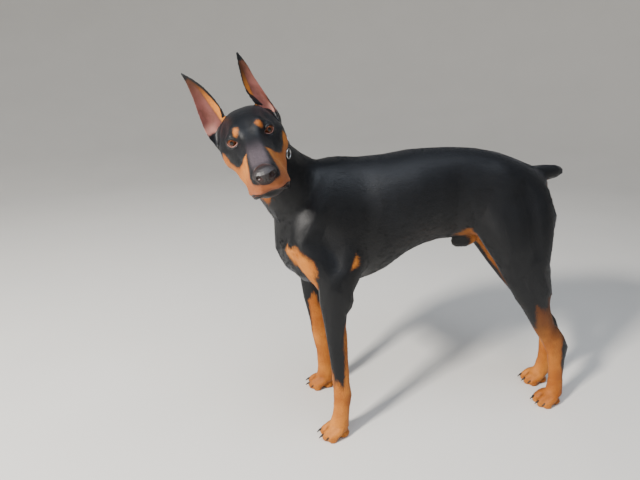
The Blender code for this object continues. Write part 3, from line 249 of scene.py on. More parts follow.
# The same on the legs; the lines are the left legs', and the right ones stand a little off
LEG_FORMS = (
    (((-0.150, 0.376), (-0.153, 0.362)), 0.011, 0.0042),                     # elbow
    (((-0.158, 0.335), (-0.160, 0.305)), 0.012, -0.0030),
    (((-0.200, 0.425), (-0.192, 0.350), (-0.186, 0.290)), 0.010, 0.0016),    # forearm
    (((-0.178, 0.420), (-0.172, 0.340), (-0.170, 0.255)), 0.005, -0.0017),
    (((-0.160, 0.400), (-0.160, 0.300)), 0.006, 0.0010),
    (((-0.178, 0.200), (-0.176, 0.185)), 0.014, 0.0018),                     # carpus
    (((-0.152, 0.176), (-0.150, 0.168)), 0.006, 0.0022),
    (((-0.166, 0.215), (-0.163, 0.130)), 0.004, -0.0012),
    (((0.222, 0.452), (0.232, 0.430)), 0.011, 0.0030),                       # stifle
    (((0.300, 0.420), (0.335, 0.360)), 0.013, 0.0030),                       # calf
    (((0.262, 0.400), (0.320, 0.290)), 0.006, -0.0016),
    (((0.352, 0.330), (0.372, 0.290), (0.390, 0.245)), 0.0065, -0.0042),     # before the tendon
    (((0.385, 0.200), (0.390, 0.120)), 0.004, -0.0012),
    (((0.392, 0.222), (0.396, 0.212)), 0.008, 0.0018),                       # hock
)
RIGHT_FORE_SHIFT = -0.028
RIGHT_HIND_SHIFT = 0.026

# In the head's own frame, for his left side; the right side is its mirror image
HEAD_FORMS = (
    (((0.020, 0.0, 0.020), (-0.030, 0.0, 0.052), (-0.080, 0.0, 0.060)), 0.010, -0.0014),
    (((-0.020, 0.032, 0.022), (0.004, 0.024, 0.024), (0.016, 0.014, 0.016)), 0.010, 0.0008),
    (((-0.030, 0.042, 0.020), (-0.055, 0.040, 0.034)), 0.012, -0.0020),      # temple
    (((0.000, 0.044, -0.019), (-0.030, 0.054, -0.020), (-0.055, 0.060, -0.015)), 0.006, 0.0018),
    (((-0.035, 0.050, -0.050), (-0.055, 0.050, -0.055)), 0.018, 0.0024),     # cheek
    (((0.024, 0.032, -0.022), (0.045, 0.028, -0.024), (0.070, 0.024, -0.024)), 0.006, -0.0014),
    (((0.028, 0.012, -0.004), (0.070, 0.012, -0.006), (0.105, 0.012, -0.012)), 0.004, 0.0006),
    (((0.100, 0.020, -0.040), (0.082, 0.024, -0.042)), 0.012, 0.0016),       # whisker pad
    (((0.112, 0.0, -0.036), (0.112, 0.0, -0.052)), 0.0014, -0.0016),         # philtrum
)

# Radius and height of the studio floor, which curves up far from the dog
BOWL = ((1.5, 0.0), (3.2, 0.0), (4.2, 0.10), (5.2, 0.55), (6.0, 1.40), (6.5, 2.6), (6.7, 4.2))
LIGHT_AIM = Vector((0, 0, 0.45))
# Name, place, size, power and tint of each light
LIGHTS = (
    ("key_light", (-2.5, -1.6, 2.4), 0.42, 300, (1.0, 0.96, 0.90)),
    ("sky_light", (-0.1, -0.9, 3.0), 2.4, 80, (0.80, 0.88, 1.0)),
    ("fill_light", (0.6, -3.0, 1.4), 2.2, 6, (0.95, 0.97, 1.0)),
)


def head_axes():
    """The head's forward, left and up directions."""
    forward = Vector((math.sin(HEAD_YAW) * math.cos(HEAD_PITCH),
                      -math.cos(HEAD_YAW) * math.cos(HEAD_PITCH),
                      -math.sin(HEAD_PITCH)))
    level_left = Vector((0, 0, 1)).cross(forward).normalized()
    level_up = forward.cross(level_left)
    left = level_left * math.cos(HEAD_ROLL) + level_up * math.sin(HEAD_ROLL)
    up = level_up * math.cos(HEAD_ROLL) - level_left * math.sin(HEAD_ROLL)
    return Matrix((forward, left, up)).transposed()


HEAD_PLACE = Matrix.Translation(EYE_MID) @ head_axes().to_4x4() @ Matrix.Scale(HEAD_SIZE, 4)
INTO_HEAD = HEAD_PLACE.inverted()


def linear(text):
    """Linear colour of an sRGB hex code."""
    parts = [int(text[i:i + 2], 16) / 255 for i in (1, 3, 5)]
    return tuple(c / 12.92 if c <= 0.04045 else ((c + 0.055) / 1.055) ** 2.4 for c in parts)


def colour_property(name, description, code):
    """A colour that a user may change."""
    return bpy.props.FloatVectorProperty(name=name, description=description, subtype="COLOR",
                                         size=3, min=0, max=1, default=linear(code))


def length_property(name, description, default):
    """A length that a user may change."""
    return bpy.props.FloatProperty(name=name, description=description, default=default, min=0,
                                   unit="LENGTH", precision=5)


class DogSizes(bpy.types.PropertyGroup):
    """Sizes of the dog's own surface."""

    coat_depth: length_property("Coat depth", "How far the skin lies inside the solids", 0.0006)
    hair_length: length_property("Hair length", "Length of a tuft on the trunk", 0.009)
    hair_width: length_property("Hair width", "Width of a tuft on the trunk", 0.0006)
    pupil_radius: length_property("Pupil radius", "Half the width of the pupil", 0.0036)
    iris_radius: length_property("Iris radius", "Half the width of the iris", 0.0082)
    strap_edge: length_property("Strap edge", "Rounding of the collar's edges", 0.0009)
    steel_edge: length_property("Steel edge", "Rounding of the buckle's edges", 0.0007)


class DogColours(bpy.types.PropertyGroup):
    """Colours of the dog and of what he wears."""

    black: colour_property("Black coat", "Hair of the back, neck and head", "#050608")
    black_tip: colour_property("Black coat tips", "Sunlit tips of the black hair", "#101218")
    rust: colour_property("Rust coat", "Hair of the muzzle, chest and legs", "#8b4a10")
    rust_pale: colour_property("Pale rust", "Lit and thin parts of the rust hair", "#b97328")
    # Deep rust: darker hair along the black, and the colour of the painted shade under the chin, on the
    # shanks and between the toes
    rust_deep_and_shade: colour_property("Deep rust", "Hair between the toes and along the black",
                               "#3e200b")
    bare: colour_property("Bare skin", "Inside of the ears", "#6b3f3a")
    bare_pale: colour_property("Pale bare skin", "Thin skin at the base of the ears", "#b57f72")
    # Dusky rust: thin hair on the lips, and painted shade at the front of the muzzle and under the chin
    dusky_rust_and_shade: colour_property("Dusky rust", "Thin hair on the front of the lips", "#7c4a35")
    # Grizzle: thin grey hair, and a painted sheen on the bridge of the nose
    grizzle_and_sheen: colour_property("Grizzle", "Thin grey hair on the bridge of the nose", "#5d5358")
    lip: colour_property("Lip", "Bare edge of the lips and lids", "#2a1b19")
    nose: colour_property("Nose leather", "Leather of the nose", "#1c1718")
    iris: colour_property("Iris", "Iris of the eyes", "#4a2511")
    horn: colour_property("Claw horn", "Horn of the claws", "#17130f")
    leather: colour_property("Collar leather", "Face of the strap", "#121213")
    steel: colour_property("Collar steel", "Buckle and ring", "#b9babc")
    floor: colour_property("Floor", "Studio floor and wall", "#d9d6d0")


def sizes():
    """The sizes in use."""
    return bpy.context.scene.dog_sizes


def colours():
    """The colours in use."""
    return bpy.context.scene.dog_colours


# Mesh helpers

def linked(name, data, place=(0, 0, 0), turn=(0, 0, 0)):
    """A new object that holds a mesh, a lamp or the camera."""
    obj = bpy.data.objects.new(name, data)
    obj.location = place
    obj.rotation_euler = turn
    bpy.context.scene.collection.objects.link(obj)
    return obj


def from_bmesh(name, shape, recalculate=False):
    """A new object from a bmesh."""
    if recalculate:
        bmesh.ops.recalc_face_normals(shape, faces=shape.faces)
    mesh = bpy.data.meshes.new(name)
    shape.to_mesh(mesh)
    shape.free()
    return linked(name, mesh)


def merged_copy(name, parts):
    """Copies of CAD nodes in one object, each closed again from its loose triangles."""
    shape = bmesh.new()
    for part in parts:
        shape.from_mesh(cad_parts[part].data)
    bmesh.ops.remove_doubles(shape, verts=shape.verts, dist=0.00002)
    obj = from_bmesh(name, shape)
    obj.data.materials.clear()
    return obj


def modified(obj, kind, **settings):
    """The object with one modifier applied."""
    modifier = obj.modifiers.new(kind.title(), kind)
    for key, value in settings.items():
        setattr(modifier, key, value)
    graph = bpy.context.evaluated_depsgraph_get()
    mesh = bpy.data.meshes.new_from_object(obj.evaluated_get(graph), depsgraph=graph)
    obj.modifiers.clear()
    old = obj.data
    obj.data = mesh
    bpy.data.meshes.remove(old)
    return obj


def joined(name, objects):
    """One object that holds the meshes of several."""
    shape = bmesh.new()
    for obj in objects:
        shape.from_mesh(obj.data)
        bpy.data.objects.remove(obj)
    return from_bmesh(name, shape)


def read(obj, what, width=3):
    """An attribute of the points as an array."""
    flat = np.empty(len(obj.data.vertices) * width)
    obj.data.vertices.foreach_get(what, flat)
    return flat.reshape(-1, width)


def write_places(obj, places):
    """Moves the points."""
    obj.data.vertices.foreach_set("co", places.ravel())
    obj.data.update()


def edge_ends(obj):
    """The two ends of every edge."""
    flat = np.empty(len(obj.data.edges) * 2, np.int64)
    obj.data.edges.foreach_get("vertices", flat)
    return flat.reshape(-1, 2)


def neighbour_mean(table, edges):
    """Mean of each point's neighbours."""
    count = len(table)
    first, second = edges.T
    total = np.column_stack([np.bincount(first, table[second, k], count)
                             + np.bincount(second, table[first, k], count)
                             for k in range(table.shape[1])])
    return total / np.maximum(np.bincount(edges.ravel(), minlength=count), 1)[:, None]


def evened(places, edges, weight, rounds, volume=1.04):
    """Evens out the points by their neighbours and swells them back, so that forms stay."""
    places = places.copy()
    for _ in range(rounds):
        for share in (0.5, -0.5 * volume):
            places += share * weight * (neighbour_mean(places, edges) - places)
    return places


def settled(table, edges, rounds):
    """Masks or weights evened out along the skin."""
    for _ in range(rounds):
        table = 0.5 * table + 0.5 * neighbour_mean(table, edges)
    return table


def remade(obj, cell, rounds):
    """Remakes an object in even cells, evens it out, and returns the places of its points."""
    modified(obj, "REMESH", mode="VOXEL", voxel_size=cell)
    places = evened(read(obj, "co"), edge_ends(obj), 1.0, rounds)
    write_places(obj, places)
    return places


def smooth_step(value, low, high):
    """0 below low, 1 above high, and a smooth rise between."""
    t = np.clip((value - low) / (high - low), 0, 1)
    return t * t * (3 - 2 * t)


def on_nodes(node, *names):
    """True for the places on these nodes."""
    return np.isin(node, [FLESH.index(name) for name in names])


def in_frame(matrix, places):
    """The places in another frame."""
    table = np.array(matrix)
    return places @ table[:3, :3].T + table[:3, 3]


def from_eyes(places):
    """Distance of each place from between the eyes."""
    return np.linalg.norm(places - np.array(EYE_MID), axis=1)


def bell(value, rise, middle=0.0, reach=1.0):
    """A smooth hump of this rise over the middle."""
    return rise * np.exp(-((value - middle) / reach) ** 2)


def columns(value, table):
    """Each column of a table at this value of its first column."""
    keys, *others = np.array(table).T
    return [np.interp(value, keys, other) for other in others]


def from_line(places, points):
    """Distance of each place from a polyline, and how far along it the nearest point lies."""
    points = np.array(points, float)
    best = np.full(len(places), np.inf)
    along = np.zeros(len(places))
    count = len(points) - 1
    for i in range(count):
        run = points[i + 1] - points[i]
        t = np.clip((places - points[i]) @ run / max(run @ run, 1e-12), 0, 1)
        away = np.linalg.norm(places - points[i] - t[:, None] * run, axis=1)
        nearer = away < best
        best[nearer] = away[nearer]
        along[nearer] = (i + t[nearer]) / count
    return best, along


def shaded_smooth(obj):
    """Smooth shading on every face."""
    obj.data.polygons.foreach_set("use_smooth", [True] * len(obj.data.polygons))
    return obj


def finished(obj, material, replaced):
    """Puts a piece in the model: its material, its body, and the nodes it stands for."""
    obj.data.materials.clear()
    obj.data.materials.append(material)
    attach(obj, "root")
    if replaced:
        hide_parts(*replaced)
    return obj


# Skin

def collar_line():
    """Centre of the collar's ring and the direction through it to the head."""
    corners = read(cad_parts["collar_strap"], "co")
    centre = corners.mean(axis=0)
    _, _, axes = np.linalg.svd(corners - centre, full_matrices=False)
    along = Vector(axes[2])
    if along.dot(EYE_MID - Vector(centre)) < 0:
        along.negate()
    return Vector(centre), along


COLLAR_CENTRE, COLLAR_ALONG = collar_line()


def broad_body():
    """The trunk and legs from their solids, without the solids' facets."""
    body = merged_copy("broad_body", BROAD_PARTS + HEAD_PARTS + PAWS)
    places = remade(body, *BROAD_STAGE)
    low = np.where(places[:, 0] < 0, FORE_PAW_TOP, HIND_PAW_TOP)
    foot = 1 - smooth_step(places[:, 2], low - 0.012, low - 0.001)
    beyond = (places - np.array(COLLAR_CENTRE)) @ np.array(COLLAR_ALONG)
    skull = smooth_step(beyond, 0.0, 0.012) * (from_eyes(places) < HEAD_REACH)
    inward = UNDERLAP * np.maximum(foot, skull)
    write_places(body, places - read(body, "normal") * inward[:, None])
    return body


def bare_skin():
    """One closed skin over all the flesh."""
    fine = merged_copy("fine_parts", FINE_PARTS)
    modified(fine, "DISPLACE", strength=SWELL, mid_level=0)
    remade(fine, *FINE_STAGE)
    skin = joined("skin", [broad_body(), fine])
    remade(skin, *SKIN_STAGE)
    return skin


def nearest_nodes(places):
    """Name index in FLESH of the CAD node nearest each place."""
    corners, faces, owner = [], [], []
    for number, name in enumerate(FLESH):
        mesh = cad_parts[name].data
        base = len(corners)
        corners.extend(vert.co.copy() for vert in mesh.vertices)
        for face in mesh.polygons:
            faces.append([base + i for i in face.vertices])
            owner.append(number)
    tree = BVHTree.FromPolygons(corners, faces)
    return np.array([owner[tree.find_nearest(Vector(place))[2]] for place in places])


def thinned(skin, triangles):
    """Fewer triangles on the plain parts of the skin, and as many as before on the head."""
    places = read(skin, "co")
    head = 1 - smooth_step(from_eyes(places), *HEAD_FINE)
    paw = 1 - smooth_step(places[:, 2], *PAW_FINE)
    plain = 1 - 0.75 * np.maximum(head, 0.6 * paw)
    group = skin.vertex_groups.new(name="plain")
    for level in range(11):
        chosen = np.nonzero(np.round(plain * 10) == level)[0]
        if len(chosen):
            group.add(chosen.tolist(), level / 10, "REPLACE")
    modified(skin, "TRIANGULATE")
    ratio = triangles / len(skin.data.polygons)
    if ratio < 1:
        modified(skin, "DECIMATE", ratio=ratio, vertex_group="plain", vertex_group_factor=1.0)
    skin.vertex_groups.clear()
    return skin


def eye_axes(side):
    """Centre of an eyeball and the axes of its socket: outward, along the lids, up."""
    centre = HEAD_PLACE @ Vector((EYE_DEPTH, side * EYE_SPREAD, 0.0))
    forward = Vector((math.cos(EYE_SPLAY), side * math.sin(EYE_SPLAY), 0.0))
    across = Vector((0, 0, 1)).cross(forward)
    turn = head_axes()
    return centre, Matrix((turn @ forward, turn @ across, turn @ Vector((0, 0, 1)))).transposed()


def lid_share(places, side):
    """Where each place lies in an eye's almond (1 on its edge), its angle, and its own place."""
    centre, axes = eye_axes(side)
    local = (places - np.array(centre)) @ np.array(axes)
    tilt = LID_TILT * side
    across = local[:, 1] * math.cos(tilt) + local[:, 2] * math.sin(tilt)
    rise = -local[:, 1] * math.sin(tilt) + local[:, 2] * math.cos(tilt)
    # The almond runs to a point at the inner corner and is rounder at the outer one
    inner = across * side < 0
    reach = np.where(inner, LID_REACH * 1.10, LID_REACH * 0.96)
    height = np.where(rise > 0, LID_RISE, LID_DROP)
    power = np.where(inner, 1.55, 1.9)
    share = (np.abs(across / reach) ** power + np.abs(rise / height) ** power) ** (1 / power)
    share = np.where(local[:, 0] > 0.002, share, 9.0)
    return share, np.arctan2(rise, across * side), local


def refined(skin, wanted):
    """Smaller triangles where wanted(places) is true."""
    shape = bmesh.new()
    shape.from_mesh(skin.data)
    places = np.array([vert.co for vert in shape.verts])
    chosen = wanted(places)
    shape.verts.ensure_lookup_table()
    edges = [edge for edge in shape.edges
             if chosen[edge.verts[0].index] and chosen[edge.verts[1].index]]
    bmesh.ops.subdivide_edges(shape, edges=edges, cuts=1, use_grid_fill=True)
    many = [face for face in shape.faces if len(face.verts) > 3]
    bmesh.ops.triangulate(shape, faces=many)
    shape.to_mesh(skin.data)
    shape.free()
    return skin


def near_eyes(places, reach):
    """True near either eye."""
    close = np.zeros(len(places), bool)
    for _, side in SIDES:
        centre, axes = eye_axes(side)
        local = (places - np.array(centre)) @ np.array(axes)
        close |= (np.linalg.norm(local, axis=1) < reach) & (local[:, 0] > 0.001)
    return close


def mouth_distance(head_places):
    """Distance above the parting of the lips, seen from the side."""
    flat = head_places[:, (0, 2)]
    away, _ = from_line(flat, MOUTH)
    line, = columns(flat[:, 0], MOUTH[::-1])
    return np.where(flat[:, 1] > line, away, -away)


def mould_lids(places):
    """Draws the skin over each eyeball: rims, the fold above and the corners."""
    for _, side in SIDES:
        share, angle, local = lid_share(places, side)
        _, axes = eye_axes(side)
        aside = np.linalg.norm(local[:, 1:], axis=1)
        upper = smooth_step(np.sin(angle), -0.2, 0.5)
        ball = EYE_RADIUS + LID_EDGE + 0.0003 * upper
        rim = np.sqrt(np.maximum(ball ** 2 - aside ** 2, (0.30 * EYE_RADIUS) ** 2))
        well = np.sqrt(np.maximum((EYE_RADIUS - 0.0012) ** 2 - aside ** 2, 0.0))
        blend = smooth_step(share, 1.02, 1.75)
        out = rim * (1 - blend) + local[:, 0] * blend
        out += upper * bell(share, *LID_FOLD) + bell(share, *LID_PUFF)
        level = np.where(share < 1.04, well + (rim - well) * smooth_step(share, 0.90, 1.04), out)
        near = (share < 2.4) & (np.abs(local[:, 0] - rim) < 0.009)
        rise = np.where(near, level - local[:, 0], 0.0)
        places = places + np.outer(rise, np.array(axes.col[0]))
    return places


def mould_mouth(places, normals, head_places):
    """The parting of the lips, with the upper lip hanging a little over the lower."""
    above = mouth_distance(head_places)
    x = head_places[:, 0]
    on_face = (x > 0.008) & (x < 0.15) & (np.abs(head_places[:, 2] + 0.055) < 0.03)
    corner = smooth_step(x, 0.010, 0.024)
    rise = sum(bell(above, *form) for form in LIP_FORMS)
    return places + normals * (rise * corner * on_face)[:, None]


def strokes(places, table):
    """Height of the skin's own forms: ridges and grooves along short lines."""
    height = np.zeros(len(places))
    for points, reach, rise in table:
        away, _ = from_line(places, points)
        height += bell(away, rise, 0.0, reach)
    return height


def moulding(places):
    """Height of the muscles, bones and folds that show through the coat."""
    sideways = (places[:, 1] - MIDLINE)
    trunk = smooth_step(np.abs(sideways), *FORMS_FROM_MIDLINE) * smooth_step(
        from_eyes(places), *FORMS_FROM_HEAD)
    flat = places[:, (0, 2)]
    height = strokes(flat, TRUNK_FORMS) * trunk * FORM_SHARE
    ribs = [([(RIB_FIRST + i * RIB_STEP + x, z) for x, z in RIB_LINE], RIB_REACH, RIB_RISE)
            for i in range(RIB_COUNT)]
    height += strokes(flat, ribs) * trunk
    leg = 1 - smooth_step(places[:, 2], *LEG_FORMS_TOP)
    moved = flat.copy()
    shift = np.where(places[:, 0] < 0.05, RIGHT_FORE_SHIFT, RIGHT_HIND_SHIFT)
    moved[:, 0] -= np.where(sideways > 0, shift, 0.0)
    height += strokes(moved, LEG_FORMS) * leg
    head_places = in_frame(INTO_HEAD, places)
    head_places[:, 1] = np.abs(head_places[:, 1])
    return height + strokes(head_places, HEAD_FORMS)


def mirrored(points):
    """The same line on the other side of the trunk."""
    return tuple((x, 2 * MIDLINE - y, z) for x, y, z in points)


def capsule(places, points, radii):
    """How far inside a rounded line with a changing radius each place lies."""
    away, along = from_line(places, points)
    return np.interp(along, np.linspace(0, 1, len(radii)), radii) - away


# Markings

def leg_angle(places, side, table):
    """Angle round a leg from straight outward towards the front, and the leg's radius."""
    near, far, low, high = columns(places[:, 2], table)
    outward = (places[:, 1] - MIDLINE) * side - (low + high) / 2
    ahead = (near + far) / 2 - places[:, 0]
    radius = (far - near + high - low) / 4
    return np.degrees(np.arctan2(ahead, outward)), radius


def foreleg_black(places, side, table):
    """How far inside the black of a foreleg each place lies."""
    angle, radius = leg_angle(places, side, table)
    level = places[:, 2]
    rear, ahead = columns(level, FORE_BLACK)
    if side > 0:
        inner = smooth_step(level, 0.272, 0.300) * 200
        rear, ahead = np.maximum(rear, inner), np.maximum(ahead, inner)
    return np.minimum(ahead - angle, angle + rear) * math.pi / 180 * radius


def hind_black(places, side, table):
    """How far inside the black of a shank or hock each place lies."""
    angle, radius = leg_angle(places, side, table)
    level = places[:, 2]
    inner = np.abs(angle) > 100
    line, = columns(angle, SHANK_LINE)
    top = level - line
    width, = columns(level, HOCK_STRIPE)
    behind = (width - np.abs(angle + 90)) * math.pi / 180 * radius
    return np.maximum(np.where(inner, np.minimum(top, level - 0.40), top), behind)


def rust_depth(places, head_places, node):
    """How far inside the rust markings each place lies, in metres."""
    rust = np.full(len(places), -0.05)
    in_head = on_nodes(node, *HEAD_PARTS)
    x, _, z = head_places.T
    line, = columns(x, CHEEK_LINE)
    cheek = np.minimum(line - z, (x + 0.078) * 0.8)
    rust = np.where(in_head, np.maximum(rust, cheek), rust)
    # The front of the chin is painted black instead of rust: painted shade under the lips
    chin = (mouth_distance(head_places) < -0.002) & (x > 0.045) & in_head
    rust = np.where(chin, np.minimum(rust, CHIN_BACK - x), rust)
    for _, side in SIDES:
        spot = capsule(head_places * (1, side, 1), EYE_SPOT, EYE_SPOT_RADII)
        rust = np.where(in_head, np.maximum(rust, spot), rust)
    rust = np.maximum(rust, capsule(places, THROAT, THROAT_RADII))
    for line_points in (CHEST_PATCH, mirrored(CHEST_PATCH)):
        rust = np.maximum(rust, capsule(places, line_points, CHEST_RADII))
    on_chest = on_nodes(node, "chest")
    for line_points in (ELBOW_PATCH, mirrored(ELBOW_PATCH)):
        patch = np.minimum(capsule(places, line_points, ELBOW_RADII), places[:, 0] - ELBOW_BACK)
        rust = np.where(on_chest, np.maximum(rust, patch), rust)
    rust = np.maximum(rust, capsule(places, UNDER_TAIL, UNDER_TAIL_RADII))
    for word, side, fore, hind in LEGS:
        black = foreleg_black(places, side, fore)
        member = on_nodes(node, "foreleg_" + word, "fore_paw_" + word)
        rust = np.where(member & (places[:, 2] < 0.40), np.maximum(rust, -black), rust)
        black = hind_black(places, side, hind)
        member = on_nodes(node, "shank_" + word, "hind_pastern_" + word, "hind_paw_" + word)
        rust = np.where(member, np.maximum(rust, -black), rust)
        wide, top, rear = INNER_THIGH
        inside = wide - (places[:, 1] - MIDLINE) * side
        inner_leg = np.minimum(np.minimum(inside, top - places[:, 2]), rear - places[:, 0])
        member = on_nodes(node, "thigh_" + word, "shank_" + word)
        rust = np.where(member, np.maximum(rust, inner_leg), rust)
    front, rear, wide, top = GROIN
    groin = np.minimum(top - places[:, 2], wide - np.abs(places[:, 1] - MIDLINE))
    groin = np.minimum(groin, np.minimum(places[:, 0] - front, rear - places[:, 0]))
    return np.maximum(rust, groin)


def ear_fields(head_places, normals_head, node):
    """Height up each ear, place across it from the front edge, and whether inside the cup."""
    height = np.full(len(node), -1.0)
    across = np.zeros(len(node))
    inside = np.zeros(len(node))
    for name, edges in EAR_EDGES.items():
        table = np.array(edges)
        member = on_nodes(node, "ear_" + name)
        middle = (table[:, 3] + table[:, 6]) / 2
        share = np.interp(head_places[:, 2], middle, table[:, 0])
        borders = np.column_stack(columns(share, table))
        front, rear = borders[:, :3], borders[:, 3:]
        run = rear - front
        part = ((head_places - front) * run).sum(axis=1) / (run ** 2).sum(axis=1)
        facing = normals_head[:, 0] + 0.35 * np.sign(rear[:, 1] - front[:, 1]) * normals_head[:, 1]
        height = np.where(member, share, height)
        across = np.where(member, part, across)
        inside = np.where(member, smooth_step(facing, 0.05, 0.45), inside)
    return height, across, inside


def marking_masks(places, normals, node):
    """Masks of the skin and the coat: rust, bare ear, dark lip or rim, and pale skin."""
    head_places = in_frame(INTO_HEAD, places)
    normals_head = normals @ np.array(head_axes())
    rust = 0.5 + rust_depth(places, head_places, node) / (2 * MARKING_SOFT)
    height, across, cup = ear_fields(head_places, normals_head, node)
    on_ear = height > -0.9
    cup = cup * smooth_step(height, -0.07, 0.02)
    front = 0.07 + 0.10 * smooth_step(height, 0.35, 0.85)
    rim = np.minimum((across - front) / 0.07, (0.97 - across) / 0.05)
    rim = np.clip(rim, 0, 1) * (1 - smooth_step(height, 0.82, 0.95))
    fringe = 1 - smooth_step(across, 0.24 + 0.12 * height, 0.42 + 0.14 * height)
    fringe = np.maximum(fringe, 0.6 * smooth_step(height, 0.50, 0.85))
    rust = np.where(on_ear, cup * rim * (0.15 + 0.85 * fringe), rust)
    bare = np.where(on_ear, cup * rim * (1 - 0.9 * fringe), 0)
    pale = np.where(on_ear, cup * rim * (1 - smooth_step(height, 0.0, 0.16))
                    * smooth_step(across, 0.45, 0.8), 0)
    lip = np.zeros(len(places))
    above = mouth_distance(head_places)
    on_mouth = (head_places[:, 0] > 0.005) & (np.abs(head_places[:, 2] + 0.055) < 0.03)
    lip = np.where(on_mouth, np.exp(-(above / 0.0022) ** 2), lip)
    for _, side in SIDES:
        share, angle, local = lid_share(places, side)
        close = np.linalg.norm(local, axis=1) < EYE_RADIUS + 0.006
        edge = 1 - smooth_step(share, 1.08, 1.22)
        lip = np.where(close, np.maximum(lip, edge), lip)
        lower = smooth_step(-np.sin(angle), -0.35, 0.25)
        waterline = smooth_step(share, 0.97, 1.01) * (1 - smooth_step(share, 1.07, 1.17)) * lower
        corner = np.exp(-((share - 1.10) / 0.10) ** 2) * smooth_step(-np.cos(angle), 0.80, 0.98)
        waterline = np.maximum(waterline * 0.75, corner * 0.6)
        pale = np.where(close, np.maximum(pale, waterline), pale)
    muzzle = np.linalg.norm((head_places - NOSE_HEART) * (1, 1, 1.15), axis=1)
    lip = np.maximum(lip, 1 - smooth_step(muzzle, 0.0165, 0.0195))
    return np.clip(np.column_stack([rust, bare, lip, pale]), 0, 1)


def tone_masks(places, head_places, node):
    """Masks of the lesser tones: grey hair with a painted sheen on the bridge of the nose, dusky rust
    of thin hair with painted shade at the front of the muzzle, a dusky streak down each forearm, and
    painted shade under the chin and on the shanks, with darker tops to the ears.
    """
    in_head = on_nodes(node, *HEAD_PARTS)
    x, y, z = head_places.T
    # Grey hair and a painted sheen along the bridge of the nose
    bridge = (1 - smooth_step(np.abs(y), 0.010, 0.019)) * smooth_step(x, 0.030, 0.085)
    front = smooth_step(x, 0.104, 0.122)
    grey = np.where(in_head, np.maximum(bridge * (1 - front), 0), 0)
    # Dusky rust over the front of the muzzle and lips: thin hair, with painted shade
    front = front * smooth_step(-z, 0.036, 0.046)
    dusky_rust_and_shade = np.where(in_head, np.maximum(front, 0.7 * smooth_step(x, 0.085, 0.115)), 0)
    # Painted shade under the lips: the front of the chin darkens to deep and dusky rust
    painted_shade_and_ear_tops = np.where(in_head, smooth_step(-z, 0.060, 0.068) * smooth_step(x, 0.055, 0.075), 0)
    dusky_rust_and_shade = np.maximum(dusky_rust_and_shade, painted_shade_and_ear_tops)
    # The insides of the ears darken towards their tops
    painted_shade_and_ear_tops = np.where(on_nodes(node, *EARS), smooth_step(z, 0.045, 0.090), painted_shade_and_ear_tops)
    for word, side, fore, _ in LEGS:
        angle, _ = leg_angle(places, side, fore)
        # Painted shade: the rust of each shank and hind pastern darkens to deep rust above the hock
        shank = on_nodes(node, "shank_" + word, "hind_pastern_" + word)
        deep = smooth_step(places[:, 2], 0.17, 0.24)
        painted_shade_and_ear_tops = np.where(shank, 0.80 * deep, painted_shade_and_ear_tops)
        member = on_nodes(node, "foreleg_" + word)
        streak = np.exp(-((angle - 60) / 26) ** 2) * smooth_step(places[:, 2], 0.16, 0.19)
        streak = streak * (1 - smooth_step(places[:, 2], 0.26, 0.34))
        dusky_rust_and_shade = np.where(member, np.maximum(dusky_rust_and_shade, 0.7 * streak), dusky_rust_and_shade)
    return stacked(grey, dusky_rust_and_shade, painted_shade_and_ear_tops)


def hollows(places, normals, edges, rounds):
    """0 on open skin and 1 in its creases."""
    count = len(places)
    first, second = edges.T
    neighbours = np.maximum(np.bincount(edges.ravel(), minlength=count), 1)
    run = places[second] - places[first]
    length = np.maximum(np.linalg.norm(run, axis=1), 1e-9)
    at_first = (run * normals[first]).sum(axis=1) / length
    at_second = -(run * normals[second]).sum(axis=1) / length
    total = np.bincount(first, at_first, count) + np.bincount(second, at_second, count)
    bend = (total / neighbours)[:, None]
    return np.clip(settled(bend, edges, rounds)[:, 0] / 0.16, 0, 1)


def lie_weights(places, node):
    """How much the hair runs down the limb, along the head, and along the ribs."""
    down = np.where(on_nodes(node, *LIMBS), 1.0,
                    np.where(on_nodes(node, "thigh_left", "thigh_right"), 0.6, 0.0))
    shoulder = 1 - smooth_step(places[:, 0], -0.26, -0.14)
    down = np.maximum(down, 0.7 * on_nodes(node, "neck")
                      + 0.45 * shoulder * on_nodes(node, "chest"))
    ear = on_nodes(node, *EARS)
    head = 1 - smooth_step(from_eyes(places), 0.11, 0.16)
    return stacked(np.where(ear, 1.0, down), np.where(ear, 0.0, head), np.zeros(len(places)))


def stacked(*masks):
    """Up to three masks of 0 to 1 side by side, and 1 as the fourth."""
    return np.clip(np.column_stack([*masks, np.ones(len(masks[0]))]), 0, 1)


def add_masks(obj, name, table):
    """Stores four masks on the points."""
    layer = obj.data.attributes.new(name, "FLOAT_COLOR", "POINT")
    layer.data.foreach_set("color", table.astype(np.float32).ravel())


def read_masks(obj, name):
    """Four masks that were stored on the points."""
    flat = np.empty(len(obj.data.vertices) * 4, np.float32)
    obj.data.attributes[name].data.foreach_get("color", flat)
    return flat.reshape(-1, 4)


